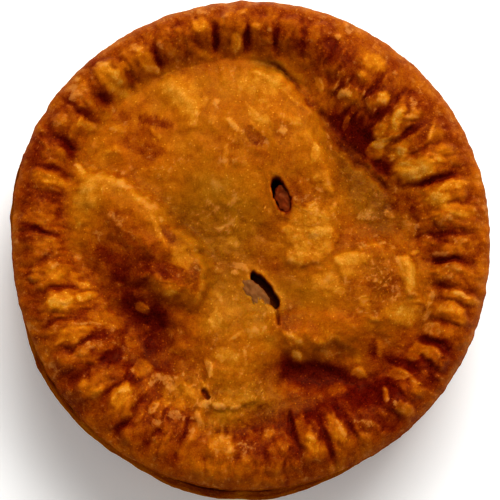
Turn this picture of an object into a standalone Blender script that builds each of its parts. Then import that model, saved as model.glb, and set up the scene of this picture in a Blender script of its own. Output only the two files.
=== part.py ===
"""Pork pie, baked and whole: a raised case of hot water crust under a crimped lid.

The pie is one closed solid. Metres, +Z up, origin at the centre of the flat base.
Run it with: blender --background --python part.py
"""

import math

import bmesh
import bpy
import numpy as np

MM = 0.001
PIE_NAME = "pork_pie"

# The case: the wall raised round the filling, and the base that the pie stands on.
WALL_TOP = 36.0 * MM
# The wall's radius where it bows out most. Even steps round the pie, from +X, anticlockwise.
CASE_RADIUS = [r * MM for r in (
    62.0, 62.4, 62.8, 63.2, 63.4, 63.6, 63.8, 63.8, 63.9, 64.3, 64.8, 64.4,
    62.2, 61.2, 62.0, 63.0, 62.9, 63.7, 63.8, 63.0, 61.8, 61.5, 61.6, 61.8,
)]
WALL_BOW = 1.3 * MM
BOW_DROP = 0.42
BASE_INSET = 4.6 * MM
BASE_CORNER = 3.4 * MM

# The lid's edge, laid on the wall and pressed down. Even steps round the pie, from +X, anticlockwise.
LID_EDGE_RADIUS = [r * MM for r in (61.9, 63.4, 64.4, 64.6, 64.0, 63.1, 60.2, 59.8, 61.0, 61.0, 61.0, 61.5)]
LID_EDGE_HEIGHT = 39.4 * MM
LID_EDGE_THICKNESS = 2.6 * MM
SEAM_DEPTH = 0.9 * MM

# The crimped rim: where its foot meets the lid, and how high its crest stands above the base.
RIM_FOOT_RADIUS = [r * MM for r in (
    41.5, 38.4, 38.8, 37.2, 39.8, 46.2, 49.7, 50.4, 50.4, 50.0, 48.2, 46.2,
    42.8, 39.5, 37.4, 37.6, 39.0, 40.6, 42.6, 40.4, 41.0, 45.6, 48.2, 46.6,
)]
RIM_CREST_HEIGHT = [h * MM for h in (44.2, 45.9, 46.4, 44.8, 44.0, 43.6, 43.4, 44.0, 43.4, 43.8, 44.4, 44.6)]
RIM_CREST_SHARE = 0.56
CRIMPS = 44
FIRST_GROOVE = math.radians(3.5)
# How far the hand that crimped the rim ran ahead (+) or behind (-) of an even pitch, in degrees.
CRIMP_DRIFT = [math.radians(d) for d in (0.6, 0.4, -1.6, -3.3, -1.0, -1.1, 0.0, 1.6, 2.2, 0.6, 1.4, 1.8)]
GROOVE_DEPTH = 2.0 * MM
NOSE_REACH = 1.6 * MM
SCALLOP = 0.35 * MM

# The lid inside the rim.
LID_FOOT_HEIGHT = 37.2 * MM
LID_CROWN = 1.6 * MM

# Where steam or fat lifted the lid (+) or let it sink (-):
# name: (x, y, half length, half width, turn in degrees, height, steepness of the edge), in millimetres.
SWELLS = {
    "north_dome": (-4, 27, 29, 17, 0, 3.3, 1.4),
    "east_shoulder": (16, 24, 20, 7, -65, 2.3, 1.3),
    "west_lobe": (-29, -1, 22, 10.5, -45, 3.9, 1.9),
    "west_lobe_crest": (-26, 9, 19, 5, -45, 1.9, 1.5),
    "middle_hollow": (-11, 7, 12, 9, -25, -1.5, 1.2),
    "south_cushion": (-3, -26, 12, 11, 80, 2.4, 1.5),
    "east_plateau": (31, -10, 16, 12, 15, 4.2, 2.6),
    "plateau_tail": (15, -21, 13, 5, -4, 2.8, 1.9),
    "vent_swell": (15, 5, 9, 8, 50, 1.5, 1.8),
    "west_pit": (-27, -20, 10, 6, -52, -2.0, 1.2),
    "south_east_pit": (17, -32, 12, 4, -6, -2.4, 1.5),
    "south_east_valley": (34, -35, 9, 4, 20, -1.6, 1.3),
    "north_east_pit": (29, 28, 11, 4.5, -55, -1.2, 1.2),
    "south_shelf": (-14, -40, 12, 6, -25, 2.6, 1.4),
    "south_lap": (3, -41, 10, 5, 5, 1.8, 1.6),
}

# Steam vents cut through the lid: (x, y, half length, half width, turn, depth), in millimetres.
VENTS = {
    "vent_north": (8.2, 14.2, 4.4, 2.0, -66, 5.0),
    "vent_south": (4.6, -10.2, 5.0, 1.8, -49, 5.0),
}

# How finely the solid is faceted.
FACETS_PER_CRIMP = 3
LID_RINGS = 12
RIM_SHARES = (0.0, 0.12, 0.27, 0.44, 0.6, 0.78, 0.92, 1.0)
WALL_RINGS = 6
CORNER_RINGS = 2
VENT_SEGMENTS = 16

CRUST_COLOUR = (0.42, 0.15, 0.015, 1.0)
CRUST_ROUGHNESS = 0.55


def around(values, angle):
    """The value at an angle, smooth between values that stand at even steps round the pie."""
    values = np.asarray(values, float)
    place = np.mod(angle / math.tau, 1.0) * len(values)
    step = np.floor(place).astype(int)
    t = place - step
    before, here, after, beyond = (values[(step + k) % len(values)] for k in (-1, 0, 1, 2))
    slope_in = (after - before) / 2
    slope_out = (beyond - here) / 2
    cubic = 2 * here - 2 * after + slope_in + slope_out
    square = 3 * after - 3 * here - 2 * slope_in - slope_out
    return ((cubic * t + square) * t + slope_in) * t + here


def smooth(low, high, x):
    """Runs from 0 at low to 1 at high, level at both ends."""
    t = np.clip((x - low) / (high - low), 0.0, 1.0)
    return t * t * (3 - 2 * t)


def crimp_ridge(angle):
    """1 on the back of each crimp and 0 in the groove beside it: broad backs, narrow grooves."""
    even = angle - around(CRIMP_DRIFT, angle)
    phase = np.mod((even - FIRST_GROOVE) / math.tau * CRIMPS, 1.0)
    return np.sin(math.pi * phase) ** 0.7


def lid_height(x, y, reach):
    """Height of the lid inside the rim; reach is 0 at its middle and 1 at the rim's foot."""
    height = LID_FOOT_HEIGHT + LID_CROWN * (1 - reach**2)
    for across_x, across_y, length, width, turn, rise, steepness in SWELLS.values():
        c = math.cos(math.radians(turn))
        s = math.sin(math.radians(turn))
        dx = x - across_x * MM
        dy = y - across_y * MM
        along = (dx * c + dy * s) / (length * MM)
        across = (dy * c - dx * s) / (width * MM)
        height = height + rise * MM * np.exp(-((along**2 + across**2) ** steepness))
    return height


def rim_height(share, angle, foot_height):
    """Height across the rim: share is 0 at its foot and 1 at the lid's outer edge."""
    crest = around(RIM_CREST_HEIGHT, angle)
    climbed = np.clip(share / RIM_CREST_SHARE, 0.0, 1.0)
    climbed = 0.5 * smooth(0.0, 1.0, climbed) + 0.5 * climbed * (2 - climbed)
    inner = foot_height + (crest - foot_height) * climbed
    past_crest = np.clip((share - RIM_CREST_SHARE) / (1 - RIM_CREST_SHARE), 0.0, 1.0)
    outer = crest + (LID_EDGE_HEIGHT - crest) * past_crest**2.6
    height = np.where(share < RIM_CREST_SHARE, inner, outer)
    pressed = smooth(0.02, 0.3, share) * (1 - 0.75 * smooth(0.72, 1.0, share))
    return height - GROOVE_DEPTH * pressed * (1 - crimp_ridge(angle))


def wall_inset(drop):
    """How far the wall stands in from its widest: drop is 0 at its top and 1 above the base corner."""
    if drop < BOW_DROP:
        return WALL_BOW * (1 - drop / BOW_DROP) ** 2
    return BASE_INSET * ((drop - BOW_DROP) / (1 - BOW_DROP)) ** 2


def turned_section():
    """The stations of the pie's section, from the middle of the lid down to the rim of the flat base."""
    lid = [("lid", k / LID_RINGS) for k in range(LID_RINGS)]
    rim = [("rim", share) for share in RIM_SHARES]
    edge = [("lip", 0.45), ("lip", 1.0), ("seam", 0.0)]
    wall = [("wall", k / WALL_RINGS) for k in range(WALL_RINGS + 1)]
    corner = [("corner", k / CORNER_RINGS) for k in range(1, CORNER_RINGS + 1)]
    return lid + rim + edge + wall + corner


def section_point(zone, share, angle):
    """Where one station of the section lies at an angle, as x, y, z."""
    ridge = crimp_ridge(angle)
    foot = around(RIM_FOOT_RADIUS, angle) - NOSE_REACH * (ridge - 0.5)
    edge = around(LID_EDGE_RADIUS, angle) + SCALLOP * (ridge - 0.5)
    c = np.cos(angle)
    s = np.sin(angle)
    if zone == "lid":
        radius = share * foot
        height = lid_height(radius * c, radius * s, share)
    elif zone == "rim":
        radius = foot + share * (edge - foot)
        height = rim_height(share, angle, lid_height(foot * c, foot * s, 1.0))
    elif zone == "lip":
        bulge = 0.5 * MM * math.sin(math.pi * share)
        radius = edge + bulge - 0.5 * MM * share
        height = rim_height(1.0, angle, LID_FOOT_HEIGHT) - LID_EDGE_THICKNESS * share
    elif zone == "seam":
        radius = np.minimum(edge, around(CASE_RADIUS, angle) - WALL_BOW) - SEAM_DEPTH
        height = WALL_TOP + 0.3 * MM + 0 * angle
    elif zone == "wall":
        radius = around(CASE_RADIUS, angle) - wall_inset(share)
        height = WALL_TOP - share * (WALL_TOP - BASE_CORNER) + 0 * angle
    elif zone == "corner":
        turn = share * math.pi / 2
        radius = around(CASE_RADIUS, angle) - wall_inset(1.0) - BASE_CORNER * (1 - math.cos(turn))
        height = BASE_CORNER * (1 - math.sin(turn)) + 0 * angle
    return np.stack([radius * c, radius * s, height], axis=-1)


def clear_scene():
    for old in list(bpy.data.objects):
        bpy.data.objects.remove(old)


def new_collection(name):
    made = bpy.data.collections.new(name)
    bpy.context.scene.collection.children.link(made)
    return made


def baked_crust():
    material = bpy.data.materials.new("baked_crust")
    material.use_nodes = True
    shader = material.node_tree.nodes["Principled BSDF"]
    shader.inputs["Base Color"].default_value = CRUST_COLOUR
    shader.inputs["Roughness"].default_value = CRUST_ROUGHNESS
    shader.inputs["Metallic"].default_value = 0.0
    return material


def turned_blank(stations, steps):
    """A Screw of one vertex per station. Each vertex keeps its station's number as its height."""
    profile = bpy.data.meshes.new("section")
    shape = bmesh.new()
    axis_ends = (0, len(stations))
    points = []
    for number in range(len(stations) + 1):
        radius = 0.0 if number in axis_ends else 1.0
        points.append(shape.verts.new((radius, 0.0, -float(number))))
    for upper, lower in zip(points, points[1:]):
        shape.edges.new((upper, lower))
    shape.to_mesh(profile)
    shape.free()
    blank = bpy.data.objects.new("blank", profile)
    bpy.context.scene.collection.objects.link(blank)
    screw = blank.modifiers.new("turn", "SCREW")
    screw.steps = screw.render_steps = steps
    screw.use_merge_vertices = True
    screw.merge_threshold = 0.0001
    mesh = bpy.data.meshes.new_from_object(blank.evaluated_get(bpy.context.evaluated_depsgraph_get()))
    bpy.data.objects.remove(blank)
    return mesh


def build_pie(collection):
    """The turned blank, moved station by station to the pie's own uneven shape."""
    stations = turned_section()
    mesh = turned_blank(stations, CRIMPS * FACETS_PER_CRIMP)
    points = np.empty(len(mesh.vertices) * 3)
    mesh.vertices.foreach_get("co", points)
    points = points.reshape(-1, 3)
    numbers = np.rint(-points[:, 2]).astype(int)
    even = np.arctan2(points[:, 1], points[:, 0]) + FIRST_GROOVE
    angles = even + around(CRIMP_DRIFT, even)
    placed = np.zeros_like(points)
    for number, (zone, share) in enumerate(stations):
        here = numbers == number
        placed[here] = section_point(zone, share, angles[here])
    mesh.vertices.foreach_set("co", placed.ravel())
    mesh.update()
    mesh.name = PIE_NAME
    pie = bpy.data.objects.new(PIE_NAME, mesh)
    pie.data.materials.append(baked_crust())
    collection.objects.link(pie)
    return pie


def cut_vents(pie, cutters):
    """Each vent is a blind slit: a stretched ball sunk into the lid."""
    for name, (x, y, half_length, half_width, turn, depth) in VENTS.items():
        surface = float(lid_height(np.array(x * MM), np.array(y * MM), np.array(0.3)))
        bpy.ops.mesh.primitive_uv_sphere_add(segments=VENT_SEGMENTS, ring_count=VENT_SEGMENTS // 2, radius=1.0)
        ball = bpy.context.object
        ball.name = name + "_cutter"
        ball.scale = (half_length * MM, half_width * MM, depth * MM)
        ball.rotation_euler = (0.0, 0.0, math.radians(turn))
        ball.location = (x * MM, y * MM, surface + 0.4 * MM)
        ball.hide_render = True
        ball.display_type = "WIRE"
        for home in list(ball.users_collection):
            home.objects.unlink(ball)
        cutters.objects.link(ball)
        cut = pie.modifiers.new(name, "BOOLEAN")
        cut.operation = "DIFFERENCE"
        cut.solver = "EXACT"
        cut.object = ball


def main():
    clear_scene()
    pie = build_pie(new_collection(PIE_NAME))
    cut_vents(pie, new_collection("cutters"))
    pie.data.shade_smooth()


main()
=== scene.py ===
# %% [markdown]
# # A pork pie, baked and whole
#
# The part is one raised pie: a hand-raised case of hot water crust, full of pork, under a lid whose edge
# is crimped down all round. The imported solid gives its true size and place. This script makes the
# baked crust that is seen: first the lid and its crimped rim, then the wall and base of the case, then
# the bit of filling in a steam vent, and last the finish, the light and the camera.
# Lengths in the script are in millimetres until a mesh is placed, because a baker thinks in them.

import math

import bmesh
import bpy
import numpy as np
from mathutils import Matrix, Vector, noise


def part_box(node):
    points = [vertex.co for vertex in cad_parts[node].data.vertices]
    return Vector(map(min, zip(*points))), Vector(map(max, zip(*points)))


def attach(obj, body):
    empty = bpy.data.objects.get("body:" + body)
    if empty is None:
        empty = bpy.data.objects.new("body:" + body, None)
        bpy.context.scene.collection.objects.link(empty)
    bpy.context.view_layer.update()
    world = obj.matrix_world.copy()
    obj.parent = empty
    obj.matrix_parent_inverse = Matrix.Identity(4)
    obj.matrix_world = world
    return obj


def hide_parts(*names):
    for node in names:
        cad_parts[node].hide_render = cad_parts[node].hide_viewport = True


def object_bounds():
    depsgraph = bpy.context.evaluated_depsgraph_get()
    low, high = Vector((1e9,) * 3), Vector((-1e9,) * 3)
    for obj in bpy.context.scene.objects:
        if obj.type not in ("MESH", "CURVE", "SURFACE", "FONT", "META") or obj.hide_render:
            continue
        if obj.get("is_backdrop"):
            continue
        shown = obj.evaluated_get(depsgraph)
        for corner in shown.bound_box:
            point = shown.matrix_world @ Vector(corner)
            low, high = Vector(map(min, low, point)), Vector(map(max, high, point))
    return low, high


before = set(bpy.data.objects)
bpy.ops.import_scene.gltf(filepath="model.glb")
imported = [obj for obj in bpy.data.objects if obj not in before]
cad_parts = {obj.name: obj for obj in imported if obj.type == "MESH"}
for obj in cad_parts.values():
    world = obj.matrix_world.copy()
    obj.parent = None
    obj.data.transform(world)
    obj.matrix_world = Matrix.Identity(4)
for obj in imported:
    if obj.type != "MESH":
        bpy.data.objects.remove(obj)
solid_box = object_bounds()
MM = 0.001
low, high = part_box("pork_pie")
print("packed pie, mm:", [round((b - a) / MM, 1) for a, b in zip(low, high)])

# %% [markdown]
# ## The pie in plan
#
# A pie raised by hand is never a true circle, so the lid's edge, the foot of the rim and the height of the
# rim's crest are each given at even steps round the pie, from +X, anticlockwise. One small function
# reads a smooth value between those steps. A plain circle would be simpler, but it looks machine-made.

# %% The lid's edge, the rim's foot and its crest
LID_EDGE_RADIUS = (61.7, 63.3, 64.3, 64.5, 63.9, 63.0, 60.4, 60.1, 61.3, 61.4, 61.2, 61.4)
RIM_FOOT_RADIUS = (
    41.5, 38.4, 38.8, 37.2, 39.8, 46.2, 49.7, 50.4, 50.4, 50.0, 48.2, 46.2,
    42.8, 39.5, 37.4, 37.6, 39.0, 40.6, 42.6, 40.4, 41.0, 45.6, 48.2, 46.6,
)
RIM_CREST_HEIGHT = (43.5, 44.8, 44.9, 44.0, 43.3, 42.9, 42.7, 43.3, 42.7, 43.1, 43.7, 43.9)
RIM_CREST_SHARE = 0.56
LID_EDGE_HEIGHT = 39.4
LID_EDGE_THICKNESS = 2.6


def around(values, angle):
    """The value at an angle, smooth between values that stand at even steps round the pie."""
    values = np.asarray(values, float)
    place = np.mod(angle / math.tau, 1.0) * len(values)
    step = np.floor(place).astype(int)
    t = place - step
    before, here, after, beyond = (values[(step + k) % len(values)] for k in (-1, 0, 1, 2))
    slope_in = (after - before) / 2
    slope_out = (beyond - here) / 2
    cubic = 2 * here - 2 * after + slope_in + slope_out
    square = 3 * after - 3 * here - 2 * slope_in - slope_out
    return ((cubic * t + square) * t + slope_in) * t + here


def smooth(low, high, x):
    """Runs from 0 at low to 1 at high, level at both ends."""
    t = np.clip((x - low) / (high - low), 0.0, 1.0)
    return t * t * (3 - 2 * t)


EDGE_RAGGED = 0.30


def lid_edge(angle):
    """The radius of the lid's edge, with the small bumps that the crimps leave in it."""
    turns = np.stack([np.cos(angle) * 17, np.sin(angle) * 17], axis=-1).reshape(-1, 2).tolist()
    bumps = np.array([noise.fractal(Vector((a, b, 2.0)), 0.8, 2.1, 3) for a, b in turns]).reshape(np.shape(angle))
    return around(LID_EDGE_RADIUS, angle) + EDGE_RAGGED * (bumps - 0.3)


print("lid edge, mm across:", round(2 * sum(LID_EDGE_RADIUS) / len(LID_EDGE_RADIUS), 1))

# %% [markdown]
# ## Swells, folds and dabs
#
# In the oven steam lifts the lid in domes and lobes, and it sinks and creases between them. Three small
# shapes describe all of it: a swell is a round or long rise (or hollow), a fold is a ridge (or crease)
# that follows a line with one flank steeper than the other, and their edges are made ragged by moving the
# place where they are read a little, which is called domain warping. Sculpting by hand would do as well,
# but these named shapes can be changed one at a time.

# %% Shapes that raise or lower the crust


def grain(x, y, size, octaves=3, seed=0.0, stretch=1.0):
    """Soft random relief, about -1 to 1, whose lumps are about size mm across."""
    k = 1.0 / size
    places = np.stack([x * k, y * k * stretch, np.full_like(x, seed * 7.31 + 0.37)], axis=-1)
    flat = places.reshape(-1, 3).tolist()
    made = [noise.fractal(Vector(p), 1.0, 2.1, octaves) for p in flat]
    return np.array(made).reshape(x.shape)


def swell(x, y, centre_x, centre_y, half_length, half_width, turn, steepness=1.2):
    """1 at its centre and 0 outside: an oval whose edge is steeper as steepness grows."""
    c, s = math.cos(math.radians(turn)), math.sin(math.radians(turn))
    dx, dy = x - centre_x, y - centre_y
    along = (dx * c + dy * s) / half_length
    across = (dy * c - dx * s) / half_width
    return np.exp(-((along**2 + across**2) ** steepness))


def fold(x, y, line, left, right, ends=0.12, power=1.0):
    """1 along a line and 0 away from it, with flanks left and right mm wide, fading at its ends."""
    line = np.asarray(line, float)
    steps = np.diff(line, axis=0)
    lengths = np.hypot(steps[:, 0], steps[:, 1])
    nearest = np.full(x.shape, np.inf)
    side = np.zeros(x.shape)
    place = np.zeros(x.shape)
    travelled = 0.0
    for start, step, length in zip(line[:-1], steps, lengths):
        dx, dy = x - start[0], y - start[1]
        t = np.clip((dx * step[0] + dy * step[1]) / length**2, 0.0, 1.0)
        away = np.hypot(dx - t * step[0], dy - t * step[1])
        closer = away < nearest
        nearest = np.where(closer, away, nearest)
        side = np.where(closer, step[0] * dy - step[1] * dx, side)
        place = np.where(closer, travelled + t * length, place)
        travelled += length
    width = np.where(side > 0, left, right)
    share = place / travelled
    fade = smooth(0.0, ends, share) * (1 - smooth(1 - ends, 1.0, share))
    return np.exp(-((nearest / width) ** 2) ** power) * fade


# %% [markdown]
# ## The crimps
#
# The rim is pinched between finger and thumb 45 times, and each pinch leaves a rounded pleat with a groove
# beside it. Each has its own width, length and lean. So the pleats are a short list, one line each, and
# the rim takes the highest pleat at each place.

# %% The pleats of the rim
# Where it stands (degrees), half its width (degrees), its inner and outer end (mm from the middle),
# its height (1 is usual), how far its inner end leans anticlockwise (degrees), and how pale it bakes, partly as
# painted highlight on its back.
PLEATS = (
    (2.3, 1.5, 50.0, 59.0, 0.60, 3.0, 0.04), (9.0, 2.6, 46.5, 60.5, 1.00, 3.5, 0.12),
    (16.2, 2.6, 46.5, 59.0, 1.15, 1.5, 0.20), (25.6, 3.3, 41.0, 60.0, 1.35, 3.5, 0.22),
    (32.6, 2.6, 46.0, 58.5, 0.90, 0.0, 0.03), (40.8, 3.0, 44.5, 56.5, 1.00, -1.5, 0.10),
    (48.3, 2.6, 46.5, 53.0, 0.90, 0.0, 0.10), (48.5, 3.2, 53.0, 60.5, 0.60, 0.0, 0.00),
    (56.8, 3.4, 51.5, 62.0, 0.90, 1.0, 0.14), (55.5, 3.0, 45.5, 50.0, 0.70, 0.0, 0.02),
    (61.0, 1.3, 46.5, 52.5, 0.70, 3.0, 0.03), (64.0, 2.4, 49.0, 59.5, 0.60, 0.0, 0.00),
    (71.5, 3.4, 51.0, 61.0, 0.55, 0.0, -0.02), (79.5, 2.7, 52.5, 60.5, 0.70, 0.0, 0.03),
    (86.5, 2.9, 53.0, 60.5, 0.80, 0.0, 0.04), (94.8, 3.2, 50.5, 62.0, 1.05, 0.5, 0.12),
    (103.4, 3.2, 50.5, 61.0, 0.95, -1.0, 0.10), (111.0, 3.2, 50.5, 61.0, 0.75, -0.5, 0.05),
    (119.8, 3.3, 50.5, 60.5, 0.95, -2.5, 0.12), (125.0, 1.2, 55.0, 58.3, 0.90, 0.0, 0.10),
    (128.8, 2.9, 49.8, 61.8, 1.40, 0.5, 0.24), (133.2, 0.9, 55.0, 58.5, 0.60, 0.0, 0.05),
    (137.4, 2.6, 50.5, 60.8, 0.80, 0.0, 0.03), (143.4, 1.9, 49.8, 55.0, 1.00, 0.0, 0.12),
    (146.2, 2.6, 50.0, 60.5, 0.85, 1.5, 0.05), (154.6, 2.9, 47.0, 60.0, 1.00, -1.0, 0.08),
    (161.4, 2.6, 47.0, 59.5, 1.20, 2.0, 0.18), (167.5, 2.6, 48.0, 59.0, 0.60, 0.0, -0.02),
    (172.8, 2.6, 46.5, 59.0, 0.95, 0.0, 0.06), (179.5, 2.8, 47.0, 59.0, 0.75, 0.0, 0.02),
    (187.5, 2.8, 46.0, 56.5, 1.00, -2.0, 0.10), (184.6, 1.6, 41.8, 45.0, 0.80, 0.0, 0.08),
    (196.2, 2.5, 41.0, 55.0, 1.40, 3.0, 0.18), (192.6, 1.7, 41.8, 45.0, 0.90, 0.0, 0.14),
    (205.8, 2.9, 43.5, 60.0, 1.10, 2.0, 0.08), (213.0, 2.4, 43.5, 58.5, 0.85, 2.0, 0.02),
    (222.2, 2.8, 44.0, 59.8, 1.10, 3.0, 0.10), (230.4, 3.0, 45.3, 59.5, 1.30, 0.5, 0.16),
    (239.0, 3.0, 49.0, 59.0, 0.80, 0.0, 0.03), (240.8, 1.9, 44.8, 49.5, 0.90, 0.0, 0.12),
    (247.2, 3.0, 44.5, 60.0, 0.85, 0.0, 0.03), (255.0, 3.0, 47.5, 60.5, 0.95, 0.0, 0.07),
    (262.7, 3.6, 48.2, 60.5, 1.10, 0.0, 0.12), (270.4, 3.0, 48.0, 60.0, 0.75, 0.0, 0.00),
    (278.2, 3.3, 46.0, 59.0, 0.80, 0.0, 0.03), (287.9, 2.9, 44.0, 58.0, 1.20, 0.0, 0.14),
    (295.2, 2.9, 44.5, 59.8, 1.20, 1.5, 0.14), (302.6, 3.0, 48.5, 58.5, 0.90, 0.0, 0.04),
    (313.8, 1.9, 48.5, 60.5, 0.90, 0.0, 0.08), (319.6, 2.5, 47.8, 58.0, 1.00, 0.0, 0.06),
    (325.6, 1.3, 48.5, 54.0, 0.70, 0.0, 0.02), (329.6, 1.9, 48.0, 58.5, 1.00, 0.0, 0.06),
    (336.2, 2.4, 48.0, 57.5, 1.05, 1.0, 0.08), (342.0, 1.9, 47.8, 59.0, 1.15, 0.5, 0.15),
    (346.9, 1.3, 50.0, 61.0, 1.10, -0.5, 0.14), (352.8, 2.7, 46.5, 60.5, 0.95, 1.0, 0.06),
    (359.0, 1.7, 47.0, 59.0, 0.70, 0.0, 0.00),
)
# Where the crimp bit deepest: degrees, half its width, inner and outer end, lean, mm deep, and how much browner,
# partly as painted shade in the cleft.
CLEFTS = (
    (3.8, 0.8, 47.0, 57.0, 1.5, 0.6, 0.12), (12.6, 0.7, 50.0, 57.0, 0.0, 0.3, 0.04), (20.6, 1.2, 46.5, 60.5, -0.5, 1.0, 0.20),
    (29.8, 0.9, 46.0, 53.0, 0.0, 0.6, 0.12), (35.7, 1.0, 48.5, 57.5, 0.0, 0.9, 0.20), (45.0, 0.9, 45.5, 54.5, -0.5, 0.9, 0.20),
    (52.4, 0.8, 49.0, 55.5, 0.0, 0.7, 0.18), (58.9, 0.7, 46.8, 52.5, 2.0, 0.7, 0.16), (66.6, 1.2, 49.5, 59.0, 0.5, 0.7, 0.16),
    (75.5, 1.0, 52.0, 59.0, -1.0, 0.6, 0.10), (82.7, 0.9, 52.0, 59.0, 0.0, 0.8, 0.18), (90.6, 1.0, 49.5, 57.0, -0.5, 0.8, 0.16),
    (99.4, 1.2, 50.5, 59.0, 0.0, 0.9, 0.16), (107.6, 0.8, 52.0, 58.5, 0.0, 0.5, 0.08), (115.2, 1.0, 51.5, 59.0, 0.0, 0.6, 0.10),
    (123.6, 0.9, 51.0, 57.0, 0.0, 0.6, 0.10), (134.6, 1.4, 51.5, 58.0, -0.5, 0.9, 0.20), (141.5, 0.8, 52.5, 58.0, 0.0, 0.6, 0.12),
    (150.2, 1.5, 48.5, 59.0, 3.0, 1.3, 0.30), (158.2, 0.8, 49.5, 58.0, 0.0, 0.8, 0.16), (165.5, 1.6, 49.0, 57.5, 0.0, 0.5, 0.12),
    (175.7, 0.9, 49.0, 59.0, 0.5, 0.8, 0.16), (183.0, 1.0, 47.0, 55.0, 0.0, 0.4, 0.06), (191.5, 1.0, 45.5, 54.0, 1.5, 0.5, 0.10),
    (201.4, 0.8, 46.0, 60.0, 1.0, 0.8, 0.16), (209.9, 0.7, 44.5, 58.5, 0.5, 0.9, 0.20), (218.3, 1.9, 42.5, 59.0, 1.0, 1.1, 0.24),
    (226.6, 1.0, 43.5, 57.5, 0.0, 0.8, 0.16), (234.9, 0.8, 44.5, 59.0, 0.3, 0.9, 0.20), (243.3, 0.8, 46.5, 56.0, 0.0, 0.7, 0.16),
    (251.1, 0.8, 47.5, 58.0, 0.0, 0.7, 0.12), (258.3, 0.6, 50.0, 59.5, 0.0, 0.5, 0.08), (266.8, 0.7, 49.0, 58.0, 0.0, 0.5, 0.08),
    (274.2, 0.8, 50.0, 58.0, 0.0, 0.4, 0.04), (283.4, 1.2, 43.5, 56.5, -1.0, 1.0, 0.20), (291.4, 0.9, 46.5, 59.5, 0.0, 0.9, 0.20),
    (299.0, 0.7, 46.5, 57.5, 0.0, 0.7, 0.14), (308.6, 2.2, 45.5, 59.5, -2.0, 1.0, 0.22), (316.0, 0.9, 47.5, 58.0, 0.5, 0.8, 0.20),
    (323.4, 1.2, 48.0, 59.0, 0.0, 1.1, 0.26), (327.4, 0.7, 48.0, 56.0, 0.0, 0.6, 0.16), (332.5, 1.1, 48.5, 59.0, 0.0, 1.0, 0.26),
    (338.9, 0.7, 48.5, 58.0, 0.0, 0.5, 0.10), (344.4, 0.6, 48.5, 57.5, 0.0, 0.5, 0.10), (349.3, 0.8, 48.0, 57.0, 0.5, 0.5, 0.10),
    (356.8, 1.0, 45.5, 58.0, 1.0, 0.9, 0.20),
)
GROOVE_DEPTH = 0.65
PLEAT_SPREAD = 1.5


def off_centre(degrees, radius, centre, inner, outer, lean):
    """How far each place lies from a leaning line across the rim: degrees beside it, and its share along it."""
    share = (outer - radius) / (outer - inner)
    aside = np.mod(degrees - centre - lean * (np.clip(share, -0.2, 1.2) - 0.5) + 180.0, 360.0) - 180.0
    return aside, 2 * share - 1


def pleats(angle, radius):
    """How high the tallest pleat stands at each place, 1 on a usual pleat's back, and its paler tone there, partly
    painted highlight.
    """
    degrees = np.degrees(angle)
    height = np.zeros(angle.shape)
    tone = np.zeros(angle.shape)
    for centre, half_width, inner, outer, tall, lean, pale in PLEATS:
        aside, along = off_centre(degrees, radius, centre, inner, outer, lean)
        body = 1 - np.abs(aside / (half_width * PLEAT_SPREAD)) ** 2.2 - np.abs(along) ** 4
        here = tall * smooth(-0.25, 1.0, body)
        height = np.fmax(height, here) + 0.15 * np.fmin(height, here)
        tone = tone + pale * smooth(0.1, 1.0, here / tall)
    return height, tone


def clefts(angle, radius):
    """How deep the crimps bite at each place, in mm, and how much browner they are made, partly as painted shade."""
    degrees = np.degrees(angle)
    depth = np.zeros(angle.shape)
    tone = np.zeros(angle.shape)
    for centre, half_width, inner, outer, lean, deep, brown in CLEFTS:
        aside, along = off_centre(degrees, radius, centre, inner, outer, lean)
        here = np.exp(-((aside / half_width) ** 2)) * np.exp(-(np.abs(along) ** 4))
        wide = np.exp(-((aside / (half_width * 2.2)) ** 2)) * np.exp(-(np.abs(along) ** 4))
        depth, tone = depth + deep * here, tone + brown * wide
    return depth, tone


print("pleats in the rim:", len(PLEATS), "and clefts between them:", len(CLEFTS))

# %% [markdown]
# ## The lid's own shape
#
# Inside the rim the lid is a low crown. On it lie the north dome, the big lobe on the west side whose
# crest hangs over the hollow in the middle, the flaky plateau on the east, and the soft cushion on the
# south. Two steam vents are cut through it. Each is one line here, so that it can be found and changed.

# %% Swells and folds of the lid
LID_FOOT_HEIGHT = 37.2
LID_CROWN = 1.6
# name: (x, y, half length, half width, turn in degrees, height, steepness of the edge)
SWELLS = {
    "north_dome": (-4, 27, 29, 17, 0, 3.2, 1.4),
    "east_shoulder": (15, 22, 20, 8, -68, 1.9, 1.3),
    "west_lobe_body": (-29, -1, 21, 10.5, -45, 3.2, 1.8),
    "middle_hollow": (-11, 7, 12, 9, -25, -1.5, 1.2),
    "south_cushion": (-3, -26, 12, 11, 80, 2.4, 1.5),
    "east_plateau": (31, -10, 16, 12, 15, 4.2, 2.6),
    "plateau_tail": (15, -21, 13, 5, -4, 2.8, 1.9),
    "vent_swell": (15, 5, 9, 8, 50, 1.5, 1.8),
    "west_pit": (-27, -20, 10, 6, -52, -2.2, 1.2),
    "south_east_pit": (17, -32, 12, 4, -6, -2.4, 1.5),
    "south_east_valley": (34, -35, 9, 4, 20, -1.6, 1.3),
    "north_east_pit": (29, 28, 11, 4.5, -55, -1.2, 1.2),
    "south_shelf": (-14, -40, 12, 6, -25, 2.6, 1.4),
    "south_lap": (3, -41, 10, 5, 5, 1.8, 1.6),
}
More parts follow.
